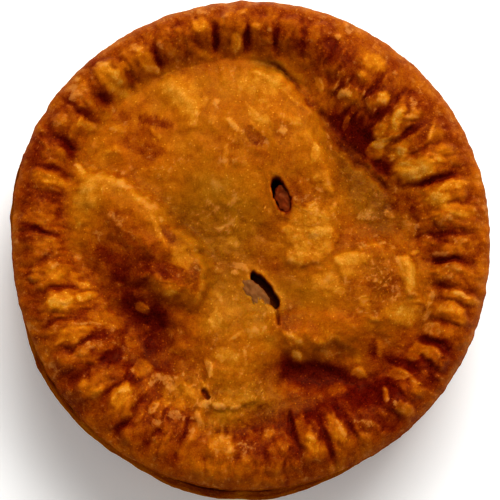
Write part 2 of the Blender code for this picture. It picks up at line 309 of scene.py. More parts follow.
# name: (points of its line, height, left flank, right flank)
FOLDS = {
    "west_lobe_crest": (((-47, 19), (-42, 17), (-37, 16.8), (-33, 16), (-28, 12), (-23, 8.5), (-20, 3.5), (-15, 0.5), (-12.5, -5),
                         (-13.5, -11), (-16, -17)), 4.4, 2.6, 9.5),
    "west_lobe_inner": (((-27, -6), (-22, -9), (-17.5, -12.5)), 0.9, 2.6, 3.0),
    "west_lobe_back": (((-37, 9), (-31, 3), (-24, -1)), 0.9, 2.0, 3.5),
    "north_diagonal": (((-22, 45), (-18, 41), (-14, 36), (-13.5, 30)), 0.9, 1.8, 3.2),
    "north_ring": (((-38, 24), (-35, 26), (-32, 24.5), (-31, 21), (-33, 18.5)), 0.6, 1.0, 1.0),
    "shoulder_crest": (((14, 31), (17.5, 25), (19.5, 19), (21, 13)), 1.0, 1.8, 3.0),
    "north_edge": (((0, 46), (6, 45.5), (11, 42), (15.5, 38), (18.5, 34)), 0.9, 1.6, 3.5),
    "patch_edge": (((9.5, 1), (10, -2.6), (13, -4), (17, -3), (21, 0.5), (22, 6)), 0.8, 2.6, 0.9),
    "plateau_north_edge": (((21, -5.5), (22.5, -2.5), (27, -0.5), (33, 0.6), (38.5, 0)), 0.8, 0.9, 2.4),
    "plateau_east_edge": (((38.5, -1), (40.5, -4.5), (41.2, -9), (41.6, -13)), 1.3, 1.4, 1.6),
    "plateau_south_edge": (((8.5, -22.5), (13, -22.5), (17, -24), (22, -23), (28, -25.5), (34, -25), (40, -20)), 0.6, 3.0, 1.4),
    "cushion_west_edge": (((-9.5, -28), (-9.8, -33), (-11.5, -37.5), (-9, -40.5), (-3, -40), (3, -38)), 0.9, 2.2, 0.8),
    "shelf_edge": (((-22, -33), (-17, -34.5), (-13.5, -38), (-12.5, -43), (-11, -46)), 0.9, 1.2, 1.6),
    "north_crease": (((4, 48.8), (9, 45.6), (13, 41.5), (18, 35.2), (23, 28.5), (28, 22.8), (33, 18.4), (38, 13.5)), -1.0, 0.9, 0.9),
    "vent_crack": (((6.8, -13.4), (7.6, -17), (8.6, -20.6)), -1.4, 0.45, 0.45),
    "shelf_hole": (((-11.4, -36.6), (-10, -38.6)), -1.0, 0.8, 0.8),
}
# name: (x, y, half length, half width, turn in degrees, depth at one end, depth at the other)
VENTS = {
    "vent_north": (8.3, 13.7, 4.7, 2.0, -68, 7.0, 0.8),
    "vent_south": (4.1, -10.4, 5.6, 1.7, -53, 9.0, 9.0),
}


def lid_height(x, y, reach):
    """Height of the lid inside the rim; reach is 0 at its middle and 1 at the rim's foot."""
    height = LID_FOOT_HEIGHT + LID_CROWN * (1 - reach**2)
    for centre_x, centre_y, length, width, turn, rise, steepness in SWELLS.values():
        height = height + rise * swell(x, y, centre_x, centre_y, length, width, turn, steepness)
    for line, rise, left, right in FOLDS.values():
        height = height + rise * fold(x, y, line, left, right)
    return height


def rim_height(share, angle, foot_height, raised, cleft):
    """Height across the rim: share is 0 at its foot and 1 at the lid's outer edge."""
    crest = around(RIM_CREST_HEIGHT, angle)
    climbed = np.clip(share / RIM_CREST_SHARE, 0.0, 1.0)
    climbed = 0.5 * smooth(0.0, 1.0, climbed) + 0.5 * climbed * (2 - climbed)
    inner = foot_height + (crest - foot_height) * climbed
    past_crest = np.clip((share - RIM_CREST_SHARE) / (1 - RIM_CREST_SHARE), 0.0, 1.0)
    outer = crest + (LID_EDGE_HEIGHT - crest) * past_crest**2.6
    height = np.where(share < RIM_CREST_SHARE, inner, outer)
    pressed = smooth(0.0, 0.2, share) * (1 - 0.8 * smooth(0.75, 1.0, share))
    return height - pressed * (GROOVE_DEPTH * (1 - raised) + 0.5 * cleft)


# %% [markdown]
# ## Blisters, flakes and crumb
#
# Hot water crust comes out of the oven covered in small blisters, with thin flakes that lift at their
# edges and a fine gritty crumb. They are real relief of a few tenths of a millimetre, so they go into the
# mesh and not only into a bump. Voronoi cells make the blisters, a stepped noise makes the flakes, and
# a fine noise makes the crumb.

# %% Relief of the baked surface


def blisters(x, y, size, seed=0.0, filled=0.6):
    """Small round domes, 0 to 1, one in each Voronoi cell of size mm, in a share of the cells."""
    k = 1.0 / size
    places = np.stack([x * k, y * k, np.full_like(x, seed)], axis=-1).reshape(-1, 3).tolist()
    made = []
    for p in places:
        distances, points = noise.voronoi(Vector(p))
        chosen = noise.cell(points[0] * 3.7) < filled
        made.append(max(0.0, 1 - (distances[0] / 0.5) ** 2) if chosen else 0.0)
    return np.array(made).reshape(x.shape)


def flakes(x, y, size, layers, seed=0.0):
    """Thin layers, 0 to 1, each with a crisp ragged edge, and how near each place is to such an edge."""
    level = (0.5 + 0.5 * grain(x, y, size, 4, seed)) * layers
    whole = np.floor(level)
    part = level - whole
    return (whole + smooth(0.72, 1.0, part)) / layers, smooth(0.80, 0.97, part) + 1 - smooth(0.0, 0.06, part)


# Where the crust is knobbly, and where it lies in flakes: (x, y, half length, half width, turn, how much, steepness)
KNOBBLY = (
    (29, 30, 13, 6, -50, 1.0, 1.8), (36, -36, 16, 6, 25, 0.8, 1.6), (-24, -16, 14, 8, -50, 0.6, 1.6),
    (-30, -32, 12, 6, -40, 0.8, 1.6), (44, 2, 8, 6, 90, 0.5, 1.5), (16, -30, 12, 5, -5, 0.5, 1.6),
)
FLAKY = (
    (15.5, 4, 7, 8, -25, 0.9, 2.0), (-8, 8, 9, 5, -20, 0.5, 1.4), (2, 32, 12, 7, 0, 0.6, 1.5), (33, -9, 11, 10, 15, 0.7, 1.8),
    (-6, -36, 14, 8, -10, 0.7, 1.5), (14, -23, 9, 3, 0, 0.8, 1.6), (-22, 8, 8, 4, -40, 0.4, 1.5), (-16, -38, 8, 7, 0, 0.8, 1.6),
    (30, 8, 8, 8, 0, 0.3, 1.4),
)


def patches(x, y, size, crispness, seed):
    """Irregular patches about size mm across, 0 or 1, whose edges are crisper as crispness shrinks."""
    moved_x, moved_y = x + 0.3 * size * grain(x, y, size / 2.5, 3, seed + 1), y + 0.3 * size * grain(x, y, size / 2.5, 3, seed + 2)
    return smooth(-crispness, crispness, grain(moved_x, moved_y, size, 2, seed))


def threads(x, y, size, seed):
    """Thin wandering lines, 1 on the line and 0 beside it, broken into short lengths."""
    line = np.exp(-((grain(x, y, size, 4, seed) / 0.035) ** 2))
    return line * smooth(0.05, 0.35, grain(x, y, size * 1.5, 2, seed + 3))


def puckers(x, y, width, length, seed, octaves=3):
    """Rounded puckers with sharp creases between them, 0 in a crease: width mm round the pie, length mm across the rim."""
    radius, angle = np.hypot(x, y), np.arctan2(y, x)
    round_it = 56.0 / width
    places = np.stack([np.cos(angle) * round_it, np.sin(angle) * round_it, radius / length + seed], axis=-1)
    return np.array([noise.turbulence(Vector(p), octaves, True) for p in places.reshape(-1, 3).tolist()]).reshape(x.shape)


def dabs(x, y, marks):
    """The sum of the dabs of one table at each place."""
    total = np.zeros(x.shape)
    for centre_x, centre_y, length, width, turn, amount, steepness in marks:
        total += amount * swell(x, y, centre_x, centre_y, length, width, turn, steepness)
    return total


# %% The lumps, flakes and stains that stand out one by one
# (x, y, half length, half width, turn, how high, how much browner (+) or paler (-), how dusty); raised marks are
# mostly made paler and dustier and sunken ones browner, partly as painted highlight and painted shade.
MARKS = (
    # the north lid
    (-17, 40.5, 7, 4.2, -40, 0.4, -0.14, 0), (-13.8, 33.6, 2.2, 1.1, 80, 0.2, -0.10, 0.4), (-24, 33, 4.4, 1.7, -8, -0.2, 0.22, 0),
    (-28, 28.5, 4.4, 4, 0, -0.1, 0.12, 0), (-25, 25, 3.2, 2.2, 0, 0, 0.14, 0), (-23.8, 29.8, 2.4, 0.6, -40, 0.3, -0.18, 0.2),
    (-33, 34, 3, 2, 0, 0, 0.12, 0), (-33, 31, 1.7, 1, -20, 0.2, -0.12, 0.2), (-19, 27, 4.5, 2.4, -30, 0.2, -0.08, 0),
    (-35.5, 22.5, 3.7, 3.5, 0, 0.4, -0.07, 0.1), (-35.2, 22, 2.6, 2.2, 0, -0.2, 0.06, 0), (-40, 21, 1.3, 0.9, 0, 0.2, -0.1, 0.5),
    (-38.4, 19, 1.6, 0.9, 70, 0.2, -0.12, 0.5), (-39.6, 27.2, 2, 0.6, 70, 0.2, -0.08, 0.4), (-8.5, 38, 1.4, 1, 20, 0.3, -0.14, 0.5),
    (-9.4, 33.2, 1.5, 1.1, 80, 0.2, -0.12, 0.5), (-11.3, 39.4, 1.6, 0.5, -50, 0.2, -0.08, 0.4), (-3.9, 31.7, 2.9, 0.8, -40, 0.35, -0.2, 0.6),
    (1.2, 34.8, 3, 1.2, -45, 0.35, -0.18, 0.4), (3.6, 33.4, 1.5, 1.2, 0, 0.2, -0.12, 0.2), (1.8, 28.6, 3.6, 1.7, -40, -0.2, 0.2, 0),
    (8.5, 30.5, 3.4, 3.2, 0, -0.1, 0.12, 0), (8.8, 30.4, 0.9, 0.7, 0, 0.2, -0.3, 0.7), (11.8, 32.6, 2, 1.4, -30, 0.2, -0.12, 0.1),
    (3, 42.8, 6, 3, -10, 0.2, -0.1, 0), (-5.8, 23.6, 3.4, 0.7, 88, 0.3, -0.14, 0.4), (-1.5, 22.6, 2.6, 1.6, 0, 0.15, -0.04, 0.3),
    (2.4, 23, 3, 2.6, 0, -0.1, 0.1, 0), (16.9, 24.5, 2.8, 1, 78, 0.3, -0.16, 0.1), (17.4, 18.4, 1.1, 1, 0, 0.2, -0.12, 0.3),
    (20.1, 16.6, 3.4, 1.2, -72, 0.4, -0.12, 0), (21.9, 10.8, 1.9, 0.7, 80, 0.3, -0.12, 0.3), (-30, 38.5, 4, 1.6, 25, 0.1, -0.06, 0),
    # the blistered golden patch and the shoulder east of it
    (15.6, 4.4, 6.4, 7.8, 20, 0.5, -0.18, 0), (17.5, 4, 2.3, 1.8, 0, 0.25, -0.12, 0.1), (16.2, 10.4, 2.4, 1.6, 0, 0.2, -0.08, 0),
    (12.4, -2.4, 2.4, 1.4, 0, 0.25, -0.1, 0), (26, -2.6, 4.8, 1.9, 6, 0.5, -0.2, 0), (19.4, -8.4, 4, 2.4, -10, 0.4, -0.16, 0.1),
    (25, -6.4, 2.4, 1.6, -20, 0.2, -0.12, 0), (23, -11, 1.8, 1, 0, 0.2, -0.12, 0.2), (30.5, 9, 2.5, 2.2, 0, 0.5, -0.02, 0.45),
    (32.4, 2.6, 2, 2.2, 0, 0.4, 0, 0.3), (36.2, 9.2, 1.7, 0.8, -35, 0.4, -0.14, 0.6), (41.2, 6.4, 2.7, 1.8, -20, 0.6, -0.08, 0.4),
    (40.4, 2, 2.6, 3.2, 20, 0.7, -0.06, 0.1), (42.2, -0.6, 1.4, 0.6, 20, 0.3, -0.2, 0.3), (40, 12, 3, 2.8, 0, 0.5, 0.14, 0),
    # the middle hollow
    (-22, 19.4, 3, 2, 0, 0.5, -0.04, 0.3), (-17.4, 22.6, 1.1, 0.9, 0, 0.3, -0.06, 0.4), (-26.6, 20.6, 0.9, 0.6, 0, 0.2, -0.1, 0.5),
    (-19, 12.6, 2.2, 1.3, 0, 0.45, -0.04, 0.3), (-8.6, 16.6, 1.7, 1.2, -30, 0.4, -0.08, 0.5), (-10.8, 12, 1.3, 1, 0, 0.3, -0.06, 0.5),
    (-4.2, 12.2, 1.9, 0.9, 30, 0.35, -0.08, 0.5), (-4, 2, 2, 1.4, -20, 0.4, -0.18, 0.35), (-7.5, -5.6, 1.3, 0.9, 0, 0.25, -0.06, 0.5),
    (0.5, 17, 3, 3.4, 0, 0.1, -0.06, 0), (-2, -4.4, 2, 0.9, -25, 0.3, -0.12, 0.8), (-3.4, -6, 1.2, 0.6, 10, 0.3, -0.1, 0.7),
    # the west lobe
    (-38, 16.2, 7, 2, 10, 0.2, -0.06, 0.2), (-32.4, 16.6, 1.8, 1.2, 70, 0.2, -0.12, 0.2), (-42, 12.6, 3.4, 3, 0, 0.1, -0.04, 0.05),
    (-26, 11.4, 3.6, 1.4, -22, 0.2, -0.08, 0.4), (-23.4, 4.6, 4.4, 0.9, -65, 0.3, -0.14, 0.2), (-20.8, 3.6, 3, 1.5, -65, -0.1, 0.18, 0),
    (-17.2, -2.6, 3.6, 2.6, -50, 0.3, -0.2, 0), (-34.5, 6.8, 3.2, 2.2, -30, 0.1, 0.06, 0.3), (-32.5, 2.2, 4, 2.2, 0, 0.1, 0.12, 0.15),
    (-36.5, -1.5, 3.4, 1.8, -40, -0.3, 0.16, 0), (-33.4, -6.4, 3, 2.2, -30, -0.3, 0.2, 0), (-27.5, -9.4, 2.2, 1.5, 0, -0.3, 0.12, 0),
    (-30, -14, 3.4, 3, -50, -0.3, 0.16, 0), (-23.4, -17.6, 4.6, 3.2, -30, -0.3, 0.24, 0), (-25.4, -24.6, 3, 1.6, -70, -0.3, 0.2, 0),
    (-27, -15, 1.9, 1.3, -30, 0.5, -0.34, 0.15), (-22, -9.7, 4.6, 2.2, -32, 0.2, -0.14, 0.05), (-19.6, -11.8, 1.5, 0.8, -20, 0.2, -0.12, 0.2),
    (-18.6, -21.4, 2.4, 1.6, 0, 0.2, -0.06, 0.35), (-18, -25.2, 2.8, 1.6, 20, 0.4, -0.12, 0.1),
    # the south cushion and the torn shelf
    (-8.4, -18, 3, 1.8, 85, 0.5, -0.18, 0.1), (-12, -20, 3, 2.4, 60, 0.2, -0.08, 0), (-7.4, -12.6, 2, 0.6, -60, 0.2, -0.1, 0.5),
    (-3.4, -12.4, 1.6, 0.9, -30, 0.2, -0.08, 0.4), (1.2, -21.4, 1.9, 1.3, -20, 0.35, -0.1, 0.5), (-3.4, -22.4, 2.6, 0.5, 30, 0.2, -0.1, 0.5),
    (-6, -27.2, 3.4, 2.2, 0, 0.4, -0.12, 0.3), (-1, -27.8, 3.4, 0.5, -80, 0.2, -0.1, 0.5), (-10.2, -30.4, 2.8, 0.8, -80, 0.4, -0.2, 0.9),
    (-11.2, -39.8, 1.9, 1, 14, 0.4, -0.24, 0.9), (-7.6, -40.4, 1.9, 0.9, -14, 0.4, -0.2, 0.8), (-3.4, -40.6, 1.6, 0.6, 12, 0.2, -0.12, 0.5), (-18, -38, 4.6, 4, 0, 0.4, -0.18, 0), (-20.6, -34, 3, 1.3, -50, 0.4, -0.16, 0.6),
    (-12.6, -43.8, 3, 0.8, -70, 0.4, -0.16, 0.5), (-24, -33.4, 2.2, 1.2, 75, 0.4, -0.12, 0.5), (-27.2, -30.6, 2.8, 2.2, 20, 0.6, -0.2, 0),
    (-29.6, -22.6, 1.9, 2.3, 0, 0.6, -0.14, 0.1), (-30.6, -33, 1.8, 1.5, 0, -0.5, 0.24, 0), (-34.6, -27.6, 3, 2, 20, -0.6, 0.26, 0),
    (-11, -37.5, 1.7, 0.8, -55, -0.8, 0.34, 0), (-2, -35, 5, 2.6, 10, 0.2, -0.06, 0), (3, -43.6, 6.4, 3.2, 0, 0, 0.18, 0),
    (-7, -50.2, 3.4, 3, 0, 0.5, -0.14, 0.1), (-6, -48.8, 1.8, 1, 0, 0.2, -0.08, 0.4), (-18.8, -43, 2, 1.2, -20, 0.3, -0.1, 0.6),
    # the edge of the plateau
    (40.2, -6, 5, 2.3, -75, 0.4, -0.2, 0.05), (38.4, -4.4, 3.4, 0.6, -65, 0.2, -0.06, 0.6), (33.6, -8, 4.4, 4.8, 20, 0.1, 0.06, 0.05),
    (29.6, -14, 2.1, 1.2, -50, 0.4, -0.18, 0.3), (32.4, -18, 1.3, 0.8, 0, 0.3, -0.16, 0.3), (39, -17, 5, 2.6, -10, 0.4, -0.16, 0),
    (46.5, -12.6, 2.4, 0.9, 75, 0.4, -0.14, 0.5), (45.4, -16.6, 2, 0.9, 60, 0.3, -0.12, 0.4), (54, -12, 2.8, 0.6, -15, 0.3, -0.2, 0.8),
    (11.4, -22.8, 3, 0.9, -30, 0.4, -0.2, 0.3), (12.4, -27, 1.5, 1, -40, 0.5, -0.26, 0.4), (20.4, -25.8, 2.6, 2, 0, 0.4, -0.1, 0.5),
    (27.4, -27.4, 2.2, 1, -70, 0.3, -0.16, 0.2), (33.4, -25.4, 3, 0.8, -80, 0.3, -0.18, 0.1), (31.6, -26, 3, 1, -80, -0.2, 0.12, 0),
    # the south-east pit
    (17, -31.6, 9.4, 2.9, -4, -0.6, 0.3, 0), (30.4, -36.6, 4, 2.2, -15, -0.6, 0.24, 0), (28.4, -31.4, 2.1, 1.4, -20, 0.9, -0.36, 0.3),
    (22.6, -35.8, 2.6, 2.2, 30, 0.9, -0.14, 0), (34.6, -37.4, 2.2, 0.9, -80, 0.7, -0.3, 0.1), (38, -32, 2.8, 1.6, -20, 0.7, -0.28, 0.3),
    (41.4, -33.4, 2.1, 1, -50, 0.5, -0.18, 0.3), (41.8, -27, 2, 1.6, 80, 0.7, -0.2, 0.1), (45.6, -26.6, 3.8, 1.6, -38, 0.8, -0.22, 0.2),
    (47, -20.5, 2.5, 1.8, -20, 0.7, -0.16, 0.5), (38, -28.8, 5, 1.2, -20, -0.4, 0.16, 0), (48.6, -24.2, 3.4, 1, -10, -0.5, 0.22, 0),
    (44.4, -22.6, 1.4, 1, 0, -0.4, 0.26, 0), (39.4, -41, 3.2, 1.8, -40, 0.5, -0.24, 0.1), (9.6, -29, 2, 3, 0, 0, 0.1, 0),
    # the wall on the north-east, partly burnt and partly browner as painted shade
    (24.6, 31.4, 6.6, 2.6, -52, -0.4, 0.20, 0), (33.8, 21.8, 3, 1.7, -40, -0.6, 0.28, 0), (33, 34.8, 3, 0.9, 25, -0.4, 0.16, 0),
    (33.9, 27.3, 2.2, 1.4, 25, 0.9, -0.4, 0.4), (32.4, 25.6, 2.6, 2.2, 20, 1.1, -0.32, 0.05), (33, 30.4, 2.4, 1.6, 70, 0.7, -0.22, 0.1),
    (25, 33, 2, 0.9, 80, 0.8, -0.34, 0.1), (38, 33.4, 3.4, 1.5, 66, 0.8, -0.28, 0.1), (42, 37.4, 2, 1.1, 70, 0.6, -0.16, 0.4),
    (41.6, 33.9, 2.7, 1.6, 35, 0.6, -0.14, 0.3), (34.5, 38.4, 1.9, 1.9, 0, 0.8, -0.28, 0.2), (31.2, 37.4, 2.1, 1.5, 10, 0.5, -0.06, 0.3),
    (24.4, 39.9, 1.8, 1.1, -20, 0.6, -0.3, 0.7), (25.2, 42.2, 1.8, 0.7, 70, 0.4, -0.14, 0.5), (22.6, 42.4, 1.8, 0.6, 60, 0.3, -0.1, 0.5),
    (28.8, 44.6, 1.3, 0.9, 0, 0.5, -0.26, 0.2), (32, 47.8, 3.2, 2.6, -20, 0.5, -0.26, 0), (18, 42.6, 2.4, 0.9, -72, 0.6, -0.2, 0.5),
    (19.9, 38.4, 3, 1.9, -55, 0.6, -0.06, 0), (41.6, 30.2, 4.6, 1, 32, -0.6, 0.28, 0), (38.8, 39.2, 3.4, 0.7, 60, -0.4, 0.18, 0),
    (30.6, 40, 3.4, 0.8, 45, -0.4, 0.18, 0), (46.6, 29.8, 2.2, 0.5, 70, 0.3, -0.26, 0.3), (48.4, 29.4, 2, 1.6, 70, 0.3, -0.12, 0.2),
    # knuckles and pleats of the east rim
    (42.4, 20.6, 6.6, 2.9, 14, 0.9, -0.26, 0), (48.2, 22.8, 2.3, 1, -30, 0.4, -0.14, 0.3), (41, 19.4, 2.2, 1, 5, 0.3, -0.1, 0.2),
    (39.5, 25, 1.8, 1.3, -40, 0.6, -0.22, 0.4), (36.8, 23.8, 1, 0.8, 0, 0.4, -0.26, 0.6), (47.5, 17.8, 6.4, 1.1, 14, -0.6, 0.2, 0),
    (52, 16, 4.2, 1.2, 14, 0.6, -0.22, 0.1), (48, 12.6, 3.2, 2, 10, 0.6, -0.2, 0), (53.4, 9.8, 4.8, 1.8, -6, 0.6, -0.18, 0.1),
    (50, 8.2, 2, 0.9, -30, 0.3, -0.08, 0.5), (54, 1.8, 2.2, 1, 15, 0.5, -0.12, 0.5), (49.6, 3.6, 4.4, 1.2, 10, -0.5, 0.2, 0),
    (52, -0.6, 5, 1.4, -4, 0.5, -0.08, 0), (50, -2.9, 5.4, 0.8, -6, -0.5, 0.2, 0), (50.6, -6.4, 3.4, 1.8, 0, 0.5, -0.1, 0.3),
    (51, -15.2, 4.4, 1.5, -18, 0.6, -0.18, 0.1), (57, -13.2, 1.8, 0.9, -10, 0.3, -0.16, 0),
    # pleats of the north rim
    (-36, 44, 5.6, 2.4, -50, 0.6, -0.26, 0), (-37.8, 47.4, 1.8, 0.8, -20, 0.3, -0.12, 0.5), (-31.8, 46.8, 1.7, 0.8, -30, 0.5, -0.24, 0.3),
    (-36, 38.8, 2.4, 1.4, -40, -0.3, 0.14, 0), (-30.4, 42.6, 2.4, 0.9, -60, -0.5, 0.2, 0), (-26, 48.4, 4.2, 2, -55, 0.6, -0.2, 0),
    (-29, 51.6, 1.8, 1.2, -30, 0.3, -0.14, 0.5), (-20, 51, 1.4, 1.8, 0, 0.4, -0.14, 0.3), (-23.6, 48.8, 2.6, 0.9, -60, -0.4, 0.2, 0),
    (-12.4, 57.4, 2.2, 2, 0, 0.4, -0.2, 0.2), (-11.4, 50.2, 1.6, 0.8, 0, 0.4, -0.18, 0.3), (-8.6, 54.6, 3.8, 1.1, 88, -0.6, 0.22, 0),
    (-0.6, 55, 3.4, 1.1, 85, -0.7, 0.28, 0), (-3.6, 53.4, 2.4, 1.4, 80, 0.5, -0.22, 0.1), (-2, 61.4, 1.5, 0.6, 10, 0.2, -0.2, 0.5),
    (2, 57, 1.2, 0.9, 0, 0.4, -0.2, 0.4), (5, 54, 1.8, 1.2, 0, 0.4, -0.06, 0.2), (7, 54.4, 2.4, 0.8, 85, -0.4, 0.16, 0),
    (13, 52, 1.6, 2.4, 0, -0.4, 0.16, 0), (17, 55, 1.6, 2, 0, 0.3, -0.12, 0.1), (22.6, 54.6, 0.9, 0.9, 0, 0.3, -0.2, 0.5),
    # pleats of the west rim
    (-50, 17.4, 4.8, 1.3, -14, 0.6, -0.24, 0.1), (-50.4, 12.8, 3.6, 2, -10, -0.5, 0.2, 0), (-53, 7.6, 4, 1.7, 0, 0.5, -0.12, 0),
    (-53.4, 4.6, 5, 0.9, -22, -0.5, 0.2, 0), (-43.6, 6, 1.5, 0.8, 85, 0.4, -0.16, 0.5), (-43.3, 20.6, 1.8, 0.8, -60, 0.5, -0.2, 0.6),
    (-46.6, 26, 4, 1.7, -50, -0.5, 0.24, 0), (-50.6, 20.8, 2.8, 0.7, -8, -0.4, 0.18, 0), (-48.6, 33, 2.4, 1.8, 40, 0.5, -0.08, 0.4),
    (-41.6, 31.8, 2.8, 1.4, -15, 0.6, -0.22, 0.3), (-40.8, 34.2, 3.6, 1.2, -30, -0.3, 0.16, 0), (-44.6, 40, 3, 2.4, 0, 0.3, -0.08, 0.45),
    (-48, -13.4, 3.8, 2, 8, 0.6, -0.26, 0), (-41.4, -12.4, 2.8, 1.3, 20, 0.5, -0.26, 0.1), (-42, -9.4, 2.3, 1.2, -10, 0.5, -0.16, 0.5),
    (-47, -6.8, 4.6, 1.8, -6, 0.6, -0.2, 0), (-50, -4.8, 1.8, 0.8, 0, 0.2, -0.1, 0.5), (-43.6, -2, 1.1, 1.1, 0, 0.3, -0.1, 0.4),
    (-36, -18.2, 5, 2.2, -12, 0.6, -0.16, 0), (-41, -19.2, 4.6, 0.5, 4, 0.2, -0.1, 0.6), (-44.4, -22, 5, 2, 20, 0.6, -0.18, 0),
    (-41.4, -25.8, 6, 1.5, 25, 0.5, -0.1, 0.3), (-53, -23, 1.8, 1, 0, -0.4, 0.16, 0), (-49.6, -30.6, 1.8, 1.2, 30, -0.4, 0.16, 0),
    (-39, -35.4, 5, 2.8, 25, 0.6, -0.16, 0.05), (-32.2, -37.4, 4.6, 2.2, 62, 0.7, -0.2, 0), (-31.6, -36, 2, 1.5, 60, 0.3, -0.16, 0.3),
    # pleats of the south rim
    (-24, -40.6, 2.3, 1.1, 62, 0.5, -0.1, 0.6), (-23.4, -44.4, 1.6, 1, 50, 0.4, -0.06, 0.5), (-14, -47, 2.6, 1.8, 70, 0.4, -0.14, 0.1),
    (22.4, -46, 4.6, 1.8, -62, 0.7, -0.2, 0), (23.2, -46, 3.6, 0.5, -58, 0.2, -0.1, 0.7), (15.9, -49, 3.6, 1.8, -80, 0.7, -0.24, 0),
    (15.7, -48.2, 1.8, 0.9, -80, 0.2, -0.1, 0.3), (13, -44.6, 1.5, 1.5, 0, 0.4, -0.08, 0), (11.3, -45.6, 4, 1, -78, -0.6, 0.26, 0),
    (20.4, -50, 4.6, 1, -70, -0.6, 0.24, 0), (16, -42.4, 2, 1.4, -20, -0.4, 0.22, 0), (26, -46, 3.6, 0.8, -58, -0.4, 0.14, 0),
    (5, -47, 1.7, 1.2, 20, 0.4, -0.16, 0.3), (7.4, -51, 2.6, 1.8, 10, 0.4, -0.12, 0), (30.6, -44.6, 2.4, 0.9, -16, 0.3, -0.1, 0.35),
)
MARK_RELIEF = 0.5
# Thin lines in the crust: (points of the line, half width, how high, how much browner or paler, how dusty)
LINES = (
    # the crisp edge of the lid on the north-east, the dark line of painted shadow outside it, and the crack above
    (((-5, 46), (0, 46.2), (3.3, 45.4), (7, 42.8), (10.5, 39.4), (15.6, 36), (20.7, 31.7), (26, 26.5), (31, 22), (35, 18.6), (38.5, 14.9)),
     0.5, 0.25, -0.10, 0.1),
    (((12, 41), (17, 37), (22, 32.6), (27, 27.6), (32, 23.2), (36, 19.8)), 0.8, -0.1, 0.12, 0),
    (((4.8, 49), (9.2, 46.4), (12.5, 42.8), (13.8, 41.2)), 0.45, -0.5, 0.24, 0),
    # crackled fat in the middle hollow
    (((-16, 9.8), (-12.5, 8.5), (-10.5, 6.7), (-7.9, 5.2), (-5.4, 6.2), (-3.3, 8.5), (-1, 8.5), (1.8, 7)), 0.4, 0.15, -0.10, 0.6),
    (((-15.6, 9.3), (-13.8, 6.7), (-10, 5.7)), 0.35, 0.1, -0.08, 0.5), (((-5.6, 11.8), (-3, 11), (0, 12.4)), 0.35, 0.1, -0.08, 0.4),
    # the west lobe: its front edge, the red line behind it, and the golden edge further back
    (((-15.8, 2.6), (-13.3, -0.5), (-11.7, -4.4), (-11.5, -9), (-12.8, -13.4), (-15, -18), (-16, -22.4)), 0.6, 0.3, -0.10, 0),
    (((-15.6, 0), (-13.4, -4.6), (-13.2, -9), (-14.6, -13)), 0.8, -0.1, 0.14, 0),
    (((-24, 3.4), (-21.4, 0.8), (-18.1, -3.6), (-15.2, -7), (-14.6, -9.5), (-16, -12.4), (-19.6, -12.8), (-24, -10.6)), 0.7, 0.2, -0.08, 0),
    # folds of the cushion and of the torn shelf
    (((-2, -25), (-3.4, -28), (-1.6, -31), (-2.6, -34)), 0.35, 0.15, -0.08, 0.4), (((-13, -33), (-11.4, -35), (-9.6, -36.4)), 0.4, 0.2, -0.10, 0.3),
    (((-17, -42), (-15.4, -45), (-16.4, -49)), 0.5, -0.2, 0.12, 0), (((-26, -44), (-22, -47), (-17.6, -47.4)), 0.5, -0.2, 0.10, 0),
    # wrinkles of the east rim
    (((40, 14.6), (43, 8), (43.4, 2), (42.6, -3)), 0.6, -0.2, 0.10, 0), (((44, 28), (48, 30.6), (52, 31)), 0.6, -0.2, 0.12, 0),
)


def marks(x, y):
    """The relief in mm, the change of baking, partly painted shade and highlight, and the dust, partly painted
    highlight, that the marks give each place; a stain has a ragged edge.
    """
    height, browner, dust_and_highlight = np.zeros(x.shape), np.zeros(x.shape), np.zeros(x.shape)
    ragged = 0.28 * grain(x, y, 1.7, 3, 41.0)
    for centre_x, centre_y, length, width, turn, high, brown, dust in MARKS:
        here = swell(x, y, centre_x, centre_y, length, width, turn, 1.0)
        crisp = smooth(0.28, 0.55, here + ragged) if high > -0.25 else smooth(0.05, 0.95, here + 0.4 * ragged)
        height, browner, dust_and_highlight = height + MARK_RELIEF * high * smooth(0.0, 0.9, here), browner + brown * crisp, dust_and_highlight + dust * crisp
    for line, width, high, brown, dust in LINES:
        here = fold(x, y, line, width, width) * np.clip(0.75 + 1.6 * ragged, 0.0, 1.2)
        height, browner, dust_and_highlight = height + MARK_RELIEF * high * here, browner + brown * here, dust_and_highlight + dust * here
    return height, browner, dust_and_highlight


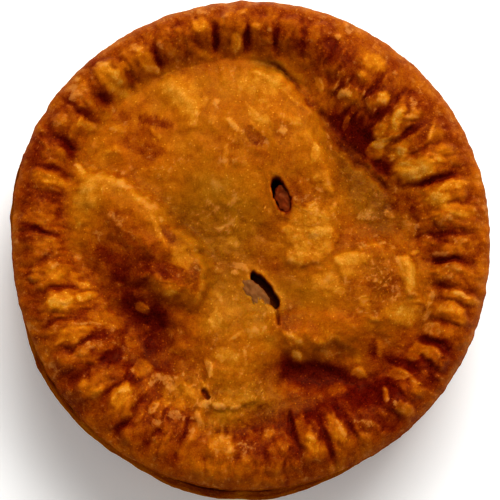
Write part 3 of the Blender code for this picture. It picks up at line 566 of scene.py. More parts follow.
def pie_top(x, y):
    """The height of the crust and what the finish needs to know about it, at each x and y."""
    slow_x, slow_y = grain(x, y, 5.0, 2, 1.0), grain(x, y, 5.0, 2, 2.0)
    quick_x, quick_y = grain(x, y, 1.8, 2, 3.0), grain(x, y, 1.8, 2, 4.0)
    shift_x, shift_y = 1.0 * slow_x + 0.25 * quick_x, 1.0 * slow_y + 0.25 * quick_y
    wx, wy = x + shift_x, y + shift_y
    radius, angle = np.hypot(x, y), np.arctan2(y, x)
    foot, edge = around(RIM_FOOT_RADIUS, angle), lid_edge(angle)
    foot = foot + 0.8 * slow_x
    share = np.clip((radius - foot) / (edge - foot), 0.0, 1.0)
    reach = np.clip(radius / foot, 0.0, 1.0)
    warped_angle, warped_radius = np.arctan2(wy, wx), np.hypot(wx, wy)
    raised, tone = pleats(warped_angle, warped_radius)
    cleft, browner = clefts(warped_angle, warped_radius)
    height = rim_height(share, angle, lid_height(wx, wy, reach), raised, cleft)
    on_rim = smooth(0.0, 0.3, share) * (1 - 0.6 * smooth(0.8, 1.0, share))
    knobbly = np.clip(dabs(wx, wy, KNOBBLY) + on_rim, 0.0, 1.5)
    flaky = np.clip(dabs(wx, wy, FLAKY), 0.0, 1.0)
    lumps = grain(x, y, 6.5, 3, 5.0)
    knobs = grain(x, y, 2.9, 3, 8.0)
    layered, torn = flakes(x, y, 7.0, 6, 6.0)
    crumb = grain(x, y, 1.0, 3, 7.0)
    height = height + 0.22 * lumps + knobs * (0.09 + 0.05 * knobbly) + layered * (0.35 + 1.1 * flaky)
    folded = puckers(wx, wy, 4.6, 8.0, 3.0, 2)
    creased = puckers(wx, wy, 2.3, 4.0, 9.0, 2)
    height = height + (folded - 0.45) * (0.05 + 0.75 * on_rim) + (creased - 0.4) * (0.05 + 0.15 * on_rim + 0.10 * knobbly)
    mark_height, mark_tone_and_shade, powder_and_highlight = marks(x + 0.5 * shift_x, y + 0.5 * shift_y)
    height = height + mark_height
    wisps = threads(x + shift_x, y + shift_y, 4.2, 31.0) * (0.35 + 0.65 * flaky)
    height = height + 0.16 * wisps + crumb * (0.02 + 0.04 * knobbly + 0.04 * flaky)
    height = height + blisters(wx, wy, 5.5, 2.3, 0.45) * 0.35 + blisters(x, y, 2.6, 1.3, 0.5) * (0.14 + 0.04 * knobbly) + blisters(x, y, 1.2, 4.1, 0.3) * (0.03 + 0.03 * knobbly)
    vent, vent_shade = np.zeros(x.shape), np.zeros(x.shape)
    for centre_x, centre_y, length, width, turn, depth_in, depth_out in VENTS.values():
        c, s = math.cos(math.radians(turn)), math.sin(math.radians(turn))
        torn_x, torn_y = x + 0.4 * quick_x - centre_x, y + 0.4 * quick_y - centre_y
        along, across = (torn_x * c + torn_y * s) / length, (torn_y * c - torn_x * s) / width
        reach_in = np.hypot(along, across)
        depth = depth_in + (depth_out - depth_in) * (0.5 + 0.5 * np.clip(along, -1, 1))
        height = height - depth * (1 - smooth(0.82, 1.05, reach_in)) + 0.25 * np.exp(-(((reach_in - 1.3) / 0.3) ** 2))
        vent = np.fmax(vent, 1 - smooth(0.90, 1.20, reach_in))
        vent_shade = np.fmax(vent_shade, (1 - smooth(0.92, 1.06, reach_in)) * smooth(1.0, 4.0, depth))
    return {"height": height, "share": share, "raised": raised, "tone": tone, "browner": browner, "crumb": crumb, "lumps": lumps,
            "torn": torn, "mark_tone_and_shade": mark_tone_and_shade, "powder_and_highlight": powder_and_highlight, "folded": folded, "creased": creased, "vent": vent, "vent_shade": vent_shade, "wisps": wisps, "knobbly": knobbly, "flaky": flaky, "wx": wx, "wy": wy, "angle": angle, "radius": radius}


# %% [markdown]
# ## The lid's mesh
#
# A square grid is bent into a disc: its square rings become circles, so the quads stay nearly even, which
# a fan of triangles from the middle would not. Each vertex is then lifted to the crust's height. The
# edge is extruded down round the lip and in under the lid, and closed.

# %% Bend a grid into a disc and lift it
GRID = 296
RIM_STARTS = 0.68


def disc_place(a, b):
    """Where a point of the square from -1 to 1 goes: its ring's share of the radius, and its angle."""
    ring = np.maximum(np.abs(a), np.abs(b))
    wide = np.abs(a) >= np.abs(b)
    safe = np.where(ring == 0, 1.0, ring)
    turned = np.where(wide, (b / np.where(wide, np.where(a == 0, 1, a), 1)) * math.pi / 4,
                      math.pi / 2 - (a / np.where(wide, 1, np.where(b == 0, 1, b))) * math.pi / 4)
    angle = np.where(wide & (a < 0), turned + math.pi, turned)
    angle = np.where(~wide & (b < 0), turned + math.pi, angle)
    return ring * safe / safe, angle


def ring_radius(ring, angle):
    """Rings share out the lid as far as the rim's foot, and then the rim."""
    foot, edge = around(RIM_FOOT_RADIUS, angle), lid_edge(angle)
    inside = foot * ring / RIM_STARTS
    outside = foot + (edge - foot) * (ring - RIM_STARTS) / (1 - RIM_STARTS)
    return np.where(ring < RIM_STARTS, inside, outside)


def new_object(name, shape):
    """A mesh object from a bmesh, in metres, at the origin."""
    mesh = bpy.data.meshes.new(name)
    shape.to_mesh(mesh)
    shape.free()
    mesh.shade_smooth()
    made = bpy.data.objects.new(name, mesh)
    bpy.context.scene.collection.objects.link(made)
    return made


shape = bmesh.new()
bmesh.ops.create_grid(shape, x_segments=GRID, y_segments=GRID, size=1.0)
shape.verts.ensure_lookup_table()
square = np.array([v.co[:2] for v in shape.verts])
ring, angle = disc_place(square[:, 0], square[:, 1])
radius = ring_radius(ring, angle)
x, y = radius * np.cos(angle), radius * np.sin(angle)
top = pie_top(x, y)
for vertex, px, py, pz in zip(shape.verts, x, y, top["height"]):
    vertex.co = (px, py, pz)
print("lid grid:", len(shape.verts), "points; height", round(top["height"].min(), 1), "to", round(top["height"].max(), 1), "mm")

# %% Round the lip and close the lid underneath
# Each step: how far it lies in from the lid's edge, and how far down.
LIP = ((-0.25, 0.7), (-0.30, 1.6), (0.10, 2.3), (1.1, 2.7))
TUCK_RADIUS, TUCK_HEIGHT = 56.0, 36.5
PLUG_HEIGHT = 34.4
edge_loop = [e for e in shape.edges if e.is_boundary]
for inset, drop in LIP:
    grown = bmesh.ops.extrude_edge_only(shape, edges=edge_loop)
    new_points = [g for g in grown["geom"] if isinstance(g, bmesh.types.BMVert)]
    edge_loop = [g for g in grown["geom"] if isinstance(g, bmesh.types.BMEdge) and g.is_boundary]
    for vertex in new_points:
        turn = math.atan2(vertex.co.y, vertex.co.x)
        out = float(lid_edge(np.array(turn))) - inset
        uneven = 0.35 * noise.fractal(Vector((math.cos(turn) * 3, math.sin(turn) * 3, 5.0)), 0.7, 2.1, 4)
        vertex.co = (out * math.cos(turn), out * math.sin(turn), LID_EDGE_HEIGHT - drop + uneven)
for tuck_radius, tuck_height in ((TUCK_RADIUS, TUCK_HEIGHT), (TUCK_RADIUS - 0.4, PLUG_HEIGHT)):
    grown = bmesh.ops.extrude_edge_only(shape, edges=edge_loop)
    new_points = [g for g in grown["geom"] if isinstance(g, bmesh.types.BMVert)]
    edge_loop = [g for g in grown["geom"] if isinstance(g, bmesh.types.BMEdge) and g.is_boundary]
    for vertex in new_points:
        turn = math.atan2(vertex.co.y, vertex.co.x)
        vertex.co = (tuck_radius * math.cos(turn), tuck_radius * math.sin(turn), tuck_height)
bmesh.ops.holes_fill(shape, edges=edge_loop, sides=len(edge_loop))
bmesh.ops.recalc_face_normals(shape, faces=shape.faces)
bmesh.ops.scale(shape, vec=(MM, MM, MM), verts=shape.verts)
lid_crust = new_object("lid_crust", shape)
print("lid faces:", len(lid_crust.data.polygons))

# %% [markdown]
# ## How far each place has baked, and where shade and highlight are painted
#
# Pastry goes from pale gold through amber and russet to nearly black. What shows is partly how far each
# place has baked: the steep walls round the rim catch the heat, and the hollows stay greasy. It is partly
# painted light: small pits, hollows, creases and the rim's grooves are painted browner as shade, and small
# rises paler as highlight. One number for each vertex holds baking and painted shade together, and two more
# say where the surface is dry and floury, with painted highlight on small rises, and where fat keeps it smooth
# and olive. The finish reads all three.

# %% Dabs of baking and of painted shade
# (x, y, half length, half width, turn, how much browner (+) or paler (-), steepness of the edge); the browner dabs on
# the south-west side of the west lobe, in the south-east pit and on the north-east wall are partly painted shade on
# slopes turned from the lamp.
BAKE_AND_SHADE_DABS = (
    (-3, 32, 30, 18, 0, -0.10, 1.6), (3, 41, 12, 4, -12, -0.05, 1.6), (-24, 31, 9, 6, -20, 0.04, 1.6), (-3, 15, 9, 6, 0, -0.07, 1.4),
    (-26, 15, 8, 6, 0, -0.09, 1.4), (-38, 10, 6, 7, 0, -0.09, 1.5), (-41, 24, 8, 7, 40, -0.10, 1.5), (-34, 41, 8, 6, 45, -0.08, 1.5),
    (-30, -3, 12, 9, -40, 0.20, 1.8), (-28, -18, 8, 6, -50, 0.17, 1.7), (-22, -19, 7, 5, -60, 0.12, 1.8), (-24, -28, 6, 5, 0, 0.14, 1.5),
    (-9, -11, 7, 6, 0, -0.09, 1.4), (-3, -28, 9, 9, 0, -0.03, 1.5), (18, -3, 8, 6, 0, -0.07, 1.4), (34, -8, 7, 8, 30, 0.02, 2.0),
    (31, -25, 8, 4, -15, 0.07, 1.5), (17, -31.5, 10, 3.0, -4, 0.22, 2.0), (14, -27, 6, 3, 0, 0.10, 1.5), (13, -41, 8, 5, 0, 0.16, 1.6),
    (31, -36.5, 9, 4, -15, 0.24, 1.6), (38, -31, 8, 3.4, 5, 0.18, 1.6), (44, -25, 5, 6, 40, 0.12, 1.5), (34, -41, 7, 4, 40, 0.08, 1.5),
    (20, -45, 5, 5, 20, 0.08, 1.4), (27.5, 29.5, 8, 4.4, -52, 0.20, 2.2), (26, 36, 7, 5, -40, 0.14, 1.8), (36, 20, 4, 3.2, -45, 0.12, 1.7),
    (20, 40, 6, 4, -50, 0.12, 1.5), (28, 17, 13, 4.4, -62, 0.10, 1.8), (38, 45, 9, 5, -45, 0.07, 1.5), (46, -8, 5, 8, 0, -0.10, 1.5),
    (44, 17, 7, 7, 0, -0.05, 1.5), (-8, -46, 4, 4, 0, -0.06, 1.5), (0, -57, 11, 3, 0, -0.12, 1.6),
    # smaller ones, clockwise from the north-west, then the middle and the south
    (-38, 45, 4.5, 4, -40, 0.10, 1.3), (-55, 25, 4, 6, 0, 0.06, 1.3), (-52, 21, 3, 3, 0, 0.05, 1.3),
    (-43, 13, 6, 4, -60, -0.08, 1.3), (-14, 37.5, 3.4, 2, -60, 0.08, 1.3), (45.4, 22.6, 2.6, 2.4, 0, 0.09, 1.3), (-33, -36, 2, 3.4, -20, 0.09, 1.3), (15, -34.5, 5, 2.4, 0, 0.08, 1.3), (-18, 1.5, 3, 2.4, -40, 0.08, 1.3), (-28, 28.5, 3.4, 3, 0, -0.06, 1.3), (-12, -37, 2.2, 2.4, 0, -0.08, 1.3), (9, -6, 2, 4, 30, 0.07, 1.3), (10, -21, 3, 2, 0, 0.08, 1.3), (-47.5, 1, 3, 4, 0, -0.10, 1.3), (-33, 2, 9, 3, 0, -0.10, 1.3),
    (-53, 3, 3, 3.5, 0, 0.06, 1.3), (-38, 37, 3, 3.5, 0, -0.07, 1.3), (-18, 39, 5, 3, -40, -0.07, 1.3),
    (-28, 33, 7, 4, 0, -0.06, 1.3), (-8, 31, 12, 6, 0, 0.06, 1.3), (1, 27, 4, 3, 0, 0.08, 1.3), (6, 28, 3.5, 3, 0, 0.06, 1.3),
    (15, 36, 4.5, 4, -40, 0.09, 1.3), (1, 33, 1.8, 2, 0, -0.06, 1.3), (-17, 20, 3.5, 2.4, 0, -0.07, 1.3),
    (-10, 15, 3, 2.6, 0, -0.07, 1.3), (-7, 23, 3, 3, 0, 0.06, 1.3), (10, 20, 5, 3, -30, 0.08, 1.3),
    (14, 14.5, 3, 5, 0, 0.07, 1.3), (-26, 23, 4, 2.5, 0, 0.04, 1.3), (-37, 15, 2.6, 2.4, 0, 0.05, 1.3),
    (-33.5, 8, 2, 3, 0, 0.05, 1.3), (22, 39, 3, 3, -45, -0.10, 1.3), (28, 35, 5, 3.5, -20, -0.10, 1.3),
    (31, 24, 3, 3, 0, 0.09, 1.3), (38.5, 25, 2.6, 5, 0, -0.14, 1.3), (46, 14, 2.6, 5, 0, -0.14, 1.3),
    (45.5, 23.5, 2.6, 2.6, 0, 0.10, 1.3), (20.5, 52, 3.5, 6, 20, 0.13, 1.3), (25, 47, 3, 3, 0, 0.07, 1.3),
    (11, 48, 6, 3, -30, -0.08, 1.3), (0, 51, 5, 2.5, 0, -0.05, 1.3), (-9, 53, 3.5, 2.5, 0, -0.05, 1.3),
    (-15, 44, 3, 2.4, -30, -0.09, 1.3), (-20, 50, 4, 3, 0, -0.06, 1.3), (-23, 56, 5, 2.5, 20, -0.06, 1.3),
    (30.5, 52.5, 3.5, 3, -40, -0.09, 1.3), (36, 47.5, 3, 3, 0, -0.06, 1.3), (42, 36.5, 3.2, 3.5, 0, 0.10, 1.3),
    (30, 41, 2.6, 2.6, 0, 0.07, 1.3), (50, 31, 2.6, 3, 0, 0.07, 1.3), (53, 25, 2.2, 4, 0, -0.07, 1.3),
    (57, 16, 3, 4, 0, -0.06, 1.3), (36, 14, 3.5, 3, 0, 0.07, 1.3), (36, 2.5, 5, 2.6, -15, 0.08, 1.3),
    (40, -1, 3, 3, 0, 0.09, 1.3), (52.5, 10, 2.2, 3, -30, 0.06, 1.3), (53, 2, 2.4, 2.4, 0, 0.06, 1.3),
    (22.5, 10, 3, 5, 0, -0.07, 1.3), (16, 6, 3, 3, 0, -0.05, 1.3), (8.5, 2, 2.4, 4, 0, -0.08, 1.3),
    (23, -4.5, 7, 2.6, 0, -0.09, 1.3), (15, -12.5, 4, 4.5, 0, -0.18, 1.3), (31, -19.5, 3, 2.6, 0, -0.13, 1.3),
    (41, -17, 3, 4.5, 0, -0.11, 1.3), (47, -4, 2, 3, 0, -0.08, 1.3), (58, -4, 2.6, 3, 0, -0.13, 1.3),
    (9, -18.5, 2.4, 3, -30, 0.12, 1.3), (-19, 2.5, 2.6, 2.6, 0, 0.06, 1.3), (-8, 4, 5, 2.6, 0, 0.04, 1.3),
    (-17.5, -7.5, 5.5, 3.4, -10, 0.14, 1.3), (-47.5, -12.5, 3, 2, 20, 0.08, 1.3), (-49, -16.5, 3, 2, 0, -0.05, 1.3),
    (-17, -17.5, 2.6, 3, 0, 0.05, 1.3), (-24, -18, 2.6, 3, 0, -0.05, 1.3), (-39.5, -24, 4.5, 4, 0, 0.12, 1.3),
    (-31, -21, 4, 4, 0, 0.08, 1.3), (-48, -25.5, 2.6, 2.6, 0, -0.06, 1.3), (-21.5, -32, 5.5, 4.5, 0, 0.15, 1.3),
    (-23, -44, 3.4, 4.5, 0, 0.12, 1.3), (-4, -18, 4, 3.5, 0, -0.09, 1.3), (-10, -20, 3, 3, 0, -0.06, 1.3),
    (4, -24, 5, 4, 0, -0.13, 1.3), (-4, -30, 6, 3.4, 0, -0.11, 1.3), (15, -26.5, 5, 2.6, 0, -0.14, 1.3), (25, -25.5, 4, 2, 0, -0.06, 1.3), (-43, -38, 8, 5, -50, 0.08, 1.3), (3, -50, 6, 2.4, 0, 0.09, 1.3), (45, 23, 3, 3, 0, 0.07, 1.3), (9, -19, 2.6, 3.4, -30, 0.10, 1.3), (-14.5, -7, 2.4, 4, 0, 0.10, 1.3), (-20, 30, 4, 3, 0, 0.07, 1.3), (-10, 36, 3, 3, 0, 0.07, 1.3), (22, 27, 3, 5, 30, 0.10, 1.3), (42, 37, 3, 3, 0, 0.07, 1.3),
    (-6, -44, 5, 3, 0, -0.14, 1.3), (-14, -43, 4, 4, 0, -0.10, 1.3), (3.5, -43.5, 5, 3, -15, -0.05, 1.3),
    (5, -52.5, 5, 3.4, 0, 0.11, 1.3), (-14, -53, 3.4, 4, 0, -0.12, 1.3), (15, -36, 5, 3, 0, 0.10, 1.3),
    (24, -41.5, 3.6, 6, 30, 0.16, 1.3), (31, -43, 4, 2.4, 0, 0.07, 1.3), (15.5, -46.5, 2.4, 4, 15, 0.14, 1.3),
    (20.5, -49, 2, 2.4, 0, -0.08, 1.3), (28.5, -31, 4, 2.6, 0, 0.09, 1.3), (48.5, -27.5, 2.6, 2.6, 0, 0.08, 1.3),
    (41, -38.5, 2.4, 3, 0, 0.05, 1.3),
    (5.5, -4.5, 4.5, 2.4, -35, 0.14, 1.3), (-1.5, -14.5, 3, 2.2, 0, -0.1, 1.3), (9.5, -50, 2.4, 3, 0, 0.12, 1.3),
    (7, -54.5, 3, 2, 0, 0.08, 1.3), (-20, -34.5, 3, 2.6, 0, 0.1, 1.3), (-19.5, -42.5, 2.2, 2.2, 0, 0.09, 1.3),
    (21.5, -37.5, 2.6, 2.6, 0, 0.12, 1.3), (39.5, -40.5, 3, 2, -40, 0.12, 1.3), (48, -26.5, 3, 2.4, -30, 0.12, 1.3),
    (38, -27, 4, 2, 0, 0.07, 1.3), (16.5, -48, 2, 3, 0, 0.1, 1.3), (-32, -28, 3, 2.4, 30, 0.1, 1.3),
    (-23, -6.5, 3, 2, -20, 0.1, 1.3), (1, 45, 2.6, 3, 0, -0.1, 1.3), (1.5, 31, 1.8, 3, 10, -0.12, 1.3),
    (-15, 35, 2, 3, -30, -0.09, 1.3), (24, 37.5, 3, 3.4, -45, -0.1, 1.3), (39.5, 25, 2.6, 3.6, -40, -0.14, 1.3),
    (49.5, 31, 3, 2.4, 0, 0.1, 1.3), (-37.8, 39, 2, 2.6, 20, -0.06, 1.3), (-38, 45, 3, 3, 0, 0.08, 1.3),
    (-26, 6, 2.6, 2.6, 0, -0.09, 1.3), (-47.5, 1, 3, 3, 0, -0.07, 1.3), (-26, -10, 2.6, 2, 0, -0.12, 1.3),
    (-42, -14.5, 4, 2, 15, -0.1, 1.3), (-50, -15.5, 3, 2, 0, -0.08, 1.3), (-14, -9.5, 2, 3, 0, 0.1, 1.3),
    (-10, -6, 2, 3.6, 0, -0.08, 1.3), (41, -15, 3.6, 2.6, 0, -0.11, 1.3), (32, -20.5, 2.6, 2, 0, -0.08, 1.3),
    (34, -27, 4, 2, 0, 0.08, 1.3), (35.5, 10.5, 3, 3, 0, 0.1, 1.3), (52.5, 2, 3, 2, 20, 0.08, 1.3),
    (47.5, -4, 2.6, 2, 0, -0.06, 1.3), (23.5, 22, 3, 3, 0, 0.09, 1.3), (31, 40, 4, 2, 0, 0.08, 1.3),
    (25, 45, 2.6, 3, 0, 0.1, 1.3), (19, 43, 2.6, 3, 0, -0.07, 1.3), (-57, 28, 3, 6, 20, 0.06, 1.3),
    (-45, 11, 3.6, 4.4, 20, -0.1, 1.3), (-31, 0.5, 6, 3, -15, -0.07, 1.3), (9.5, -3.5, 2.2, 3, 0, -0.08, 1.3),
    (-8, 15, 5, 3, 0, -0.05, 1.3), (-10, -56, 5, 2.4, 0, -0.06, 1.3), (42, -20.5, 3, 2.6, 0, -0.08, 1.3),
    (42, 13, 3, 4, 0, -0.06, 1.3), (15, -27.5, 3.5, 2, 0, -0.07, 1.3), (-27, 32, 7, 4, -40, 0.04, 1.5),
    (8.9, 13.6, 6.2, 3.4, -68, 0.2, 1.6), (-15, 54, 3.4, 4, 0, 0.07, 1.3),
    (15, 55, 3, 3, 0, 0.08, 1.3), (21, 51, 3, 4, 0, 0.06, 1.3), (-23, 52, 4, 2.4, 30, 0.05, 1.3), (32, 48, 3, 2, 0, 0.08, 1.3), (5, -36, 5, 3.4, 0, 0.08, 1.3), (7, -31, 3.4, 3.4, 0, 0.08, 1.3),
)


# Where flour and torn flakes leave the crust dry and pale, and where fat soaks it and turns it olive; the olive in the
# middle hollow, the north-east valley and the north crease is partly painted shade.
DUSTY = (
    (33, -7, 6, 6, 0, 0.12, 1.5), (-8, 8.5, 6, 3, -35, 0.30, 1.4), (36, 33, 6, 4, -50, 0.15, 1.4), (45, -16, 5, 5, 0, 0.20, 1.4),
    (-16, -46, 7, 4, 20, 0.20, 1.5), (-3, -52, 8, 3, 0, 0.25, 1.5), (-36, -24, 7, 4, 20, 0.15, 1.5), (52, -6, 4, 4, 0, 0.20, 1.5),
)
OILY_AND_SHADE = (
    (-28, 28, 10, 7, -40, -0.5, 1.8), (-27, -9, 18, 13, -50, -0.7, 1.8), (24, -28, 22, 11, -6, -0.7, 1.8), (28, 28, 10, 6, -50, -0.6, 1.8),
    (-10, 6, 14, 13, -30, 0.8, 1.6), (-9, -14, 6, 10, 10, 0.5, 1.5), (28, 18, 16, 5, -62, 0.9, 1.8), (-2, -38, 10, 5, -5, 0.5, 1.5),
    (-8, -45, 5, 4, 0, 0.6, 1.5), (3, -15, 8, 6, -50, 0.6, 1.5), (-2, 53, 28, 4, 0, -0.4, 1.6), (-33, 38, 10, 3, 45, 0.1, 1.5),
    (-36, 22, 6, 4, 0, 0.1, 1.5), (14, -12, 8, 6, 0, 0.4, 1.5), (5, -28, 8, 6, 0, 0.3, 1.5), (7, 47, 7, 1.6, -28, 0.9, 1.6),
)


# %% Work out how far each place of the lid has baked, and where shade and highlight are painted


def blurred(values, passes):
    """The same field on the grid, softened by its neighbours."""
    field = values.reshape(GRID + 1, GRID + 1)
    for _ in range(passes):
        padded = np.pad(field, 1, mode="edge")
        field = (padded[:-2, 1:-1] + padded[2:, 1:-1] + padded[1:-1, :-2] + padded[1:-1, 2:] + 2 * field) / 6
    return field.ravel()


def give(obj, name, values):
    """Stores one number for each vertex under a name that a material can read."""
    layer = obj.data.attributes.new(name, "FLOAT", "POINT")
    layer.data.foreach_set("value", np.asarray(values, np.float32))


height = top["height"]
pits = np.clip(blurred(height, 6) - height, -0.25, 0.3)
hollows = np.clip(blurred(height, 60) - height, -0.8, 1.0)
valleys = np.clip(blurred(height, 300) - height, -2.0, 2.0)
on_rim = smooth(0.0, 0.3, top["share"])
wisps = top["wisps"]
bake_and_shade = 0.44 + 0.13 * on_rim - 0.10 * smooth(0.80, 0.97, top["share"])
inward = 1 - smooth(0.72, 0.95, top["share"])
# Painted shade and highlight: small pits, hollows and broad valleys are made browner and small rises paler, the valleys
# most on the rim.
bake_and_shade += inward * (0.15 * pits + 0.09 * hollows + 0.05 * valleys * (0.4 + 0.6 * on_rim))
# Painted shade and highlight: the creases between the rim's puckers are made browner and their tops paler.
bake_and_shade += on_rim * (0.16 * np.clip(0.40 - top["folded"], -0.3, 0.3) + 0.06 * np.clip(0.35 - top["creased"], -0.2, 0.3))
# The backs of the pleats are made paler, partly as painted highlight, and the clefts browner, partly as painted shade.
bake_and_shade += dabs(top["wx"], top["wy"], BAKE_AND_SHADE_DABS) + 0.95 * top["mark_tone_and_shade"] - 0.35 * top["tone"] + 0.4 * top["browner"] * on_rim
bake_and_shade += (0.03 + 0.05 * on_rim) * grain(x, y, 4.4, 4, 11.0) + 0.04 * grain(x, y, 1.9, 2, 14.0) + 0.03 * top["lumps"]
bake_and_shade += 0.05 * (patches(x, y, 9.0, 0.10, 21.0) - 0.5) - 0.12 * wisps
bake_and_shade = np.clip(bake_and_shade, 0.08, 0.84)
# Painted shade: inside each vent the crust is made deep red-brown, and its deep part nearly black.
bake_and_shade = bake_and_shade + top["vent"] * (0.80 - bake_and_shade) + 0.17 * top["vent_shade"]
dry_and_highlight = 0.7 * smooth(0.05, 0.6, grain(x, y, 2.4, 4, 12.0)) * smooth(-0.1, 0.5, grain(x, y, 9.0, 2, 15.0)) + 0.8 * wisps
# Painted highlight: small rises get more pale dust and small pits less.
dry_and_highlight += 0.22 * smooth(0.76, 0.95, top["share"]) + 0.6 * top["torn"] * (0.15 + top["flaky"]) + dabs(top["wx"], top["wy"], DUSTY) + top["powder_and_highlight"] - 1.0 * pits * inward
dry_and_highlight = np.clip(dry_and_highlight, 0.0, 1.0) * (1 - top["vent"]) * (1 - smooth(0.62, 0.80, bake_and_shade)) - 0.5 * smooth(0.62, 0.80, bake_and_shade)
# Fat makes the crust smoother and its colour a darker olive; where it lies in hollows and valleys the olive is partly
# painted shade.
oily_and_shade = np.clip(dabs(top["wx"], top["wy"], OILY_AND_SHADE) + 0.30 * (1 - on_rim) + 0.25 * grain(x, y, 5.0, 3, 13.0), 0.0, 1.0) * (1 - top["vent"])
rest = len(lid_crust.data.vertices) - len(bake_and_shade)
for name, values, under in (("bake_and_shade", bake_and_shade, 0.62), ("dry_and_highlight", dry_and_highlight, -0.3), ("oily_and_shade", oily_and_shade, 0.6)):
    give(lid_crust, name, np.concatenate([values, np.full(rest, under)]))
print("bake, middle of the lid's values:", round(float(np.median(bake_and_shade)), 2))

# %% [markdown]
# ## The case
#
# The case is one turned wall: a profile of the wall, its corner and the base is spun about the pie's
# middle, and then each vertex is moved a little, because a wall raised by hand bows and wanders. It has a
# ledge at its top for the lid to sit in, so that neither piece runs through the other.

# %% Spin the case and let it bow
CASE_RADIUS = (
    62.0, 62.4, 62.8, 63.2, 63.4, 63.6, 63.8, 63.8, 63.9, 64.3, 64.6, 63.9,
    61.5, 60.9, 62.0, 62.6, 62.5, 63.6, 63.8, 62.8, 61.4, 61.4, 61.6, 61.8,
)
WALL_TOP = 36.0
WALL_BOW = 1.3
BOW_DROP = 0.42
BASE_INSET = 4.6
BASE_CORNER = 3.4
CASE_STEPS = 640
WALL_ROWS = 54


def wall_inset(drop):
    """How far the wall stands in from its widest: drop is 0 at its top and 1 above the base corner."""
    if drop < BOW_DROP:
        return WALL_BOW * (1 - drop / BOW_DROP) ** 2
    return BASE_INSET * ((drop - BOW_DROP) / (1 - BOW_DROP)) ** 2


profile = [(0.0, 34.0), (54.0, 34.0), (54.6, 35.8), (58.0, WALL_TOP)]
profile += [(62.0 - wall_inset(k / WALL_ROWS), WALL_TOP - k / WALL_ROWS * (WALL_TOP - BASE_CORNER)) for k in range(WALL_ROWS + 1)]
for k in range(1, 7):
    turn = k / 6 * math.pi / 2
    profile.append((62.0 - BASE_INSET - BASE_CORNER * (1 - math.cos(turn)), BASE_CORNER * (1 - math.sin(turn))))
profile += [(r, 0.0) for r in (50.0, 40.0, 28.0, 14.0, 0.0)]
shape = bmesh.new()
points = [shape.verts.new((r, 0.0, z)) for r, z in profile]
lines = [shape.edges.new(pair) for pair in zip(points, points[1:])]
bmesh.ops.spin(shape, geom=points + lines, cent=(0, 0, 0), axis=(0, 0, 1), angle=math.tau, steps=CASE_STEPS, use_merge=True)
bmesh.ops.remove_doubles(shape, verts=shape.verts, dist=0.0005)
bmesh.ops.recalc_face_normals(shape, faces=shape.faces)
case_bake_and_shade, case_dry, case_oily = [], [], []
for vertex in shape.verts:
    r, z = math.hypot(vertex.co.x, vertex.co.y), vertex.co.z
    turn = math.atan2(vertex.co.y, vertex.co.x)
    c, s = math.cos(turn), math.sin(turn)
    place = Vector((c * 62, s * 62, z))
    slow = noise.fractal(place / 18.0, 0.7, 2.1, 3)
    lumps = noise.fractal(place / 6.0 + Vector((3, 7, 1)), 0.7, 2.1, 3)
    crumb = noise.fractal(place / 1.4, 0.7, 2.1, 3)
    on_wall = float(smooth(56.0, 57.5, r)) if z > 0.01 else 0.0
    if r > 50.0:
        out = float(around(CASE_RADIUS, np.array(turn))) - 62.0
        r += out * float(smooth(50.0, 57.0, r)) + on_wall * (0.45 * slow + 0.22 * lumps + 0.08 * crumb - 0.5)
        vertex.co = (r * c, r * s, z)
    # The wall is made darker towards its top, partly as painted shade under the lid's lip, and darker towards its base.
    band = float(smooth(26.0, 35.0, z)) * 0.12 + float(1 - smooth(0.0, 9.0, z)) * 0.14
    layer = noise.fractal(Vector((c * 4.5, s * 4.5, z / 2.4)), 0.8, 2.1, 3)
    case_bake_and_shade.append(min(1.0, max(0.0, 0.56 + band + 0.12 * slow + 0.10 * lumps + 0.09 * layer)))
    case_dry.append(min(1.0, max(0.0, 0.3 * lumps)))
    case_oily.append(0.75)
bmesh.ops.scale(shape, vec=(MM, MM, MM), verts=shape.verts)
case_crust = new_object("case_crust", shape)
for name, values in (("bake_and_shade", case_bake_and_shade), ("dry_and_highlight", case_dry), ("oily_and_shade", case_oily)):
    give(case_crust, name, values)
print("case faces:", len(case_crust.data.polygons))

# %% [markdown]
# ## The filling in the vents
#
# Through the south vent a pale bit of jellied fat shows, with a ragged edge, and deep in the north vent the
# moist meat. Each is one rounded lump, squashed and made uneven by noise; a modelled piece of mince for each
# grain would never be seen through holes this small.

# %% Lumps of filling
# (x, y, half length, half width, half height, turn, how far its top lies under the lid's surface, how lean)
LUMPS = (
    (2.0, -12.0, 5.5, 2.4, 1.4, -52, -0.5, 0.0),
    (9.2, 12.7, 4.1, 2.2, 1.2, -66, 0.4, 0.8),
)
LUMP_ROUGHNESS = 0.4
LUMP_FLATNESS = 2.2
filling = bmesh.new()
lean = []
for centre_x, centre_y, length, width, height, turn, sunk, meat in LUMPS:
    before = len(filling.verts)
    bmesh.ops.create_icosphere(filling, subdivisions=4, radius=1.0)
    filling.verts.ensure_lookup_table()
    surface = float(lid_height(np.array(centre_x), np.array(centre_y), np.array(0.25)))
    place = Matrix.Translation((centre_x, centre_y, surface - sunk - height)) @ Matrix.Rotation(math.radians(turn), 4, "Z")
    for vertex in filling.verts[before:]:
        out = vertex.co.normalized()
        out.z = math.tanh(LUMP_FLATNESS * out.z)
        bump = noise.fractal(Vector((out.x * length, out.y * width, out.z * height)) / 1.3, 0.7, 2.1, 4)
        stretched = Vector((out.x * length, out.y * width, out.z * height)) + out * LUMP_ROUGHNESS * bump
        vertex.co = place @ stretched
        # Each lump's lower flank, where it curves down into the hole, takes the dark colour of lean meat, partly as
        # painted shade.
        lean.append(max(meat, float(smooth(0.3, 0.9, (surface - sunk) - vertex.co.z))))
bmesh.ops.scale(filling, vec=(MM, MM, MM), verts=filling.verts)
vent_filling = new_object("vent_filling", filling)
give(vent_filling, "lean", lean)
print("lumps of filling:", len(LUMPS))

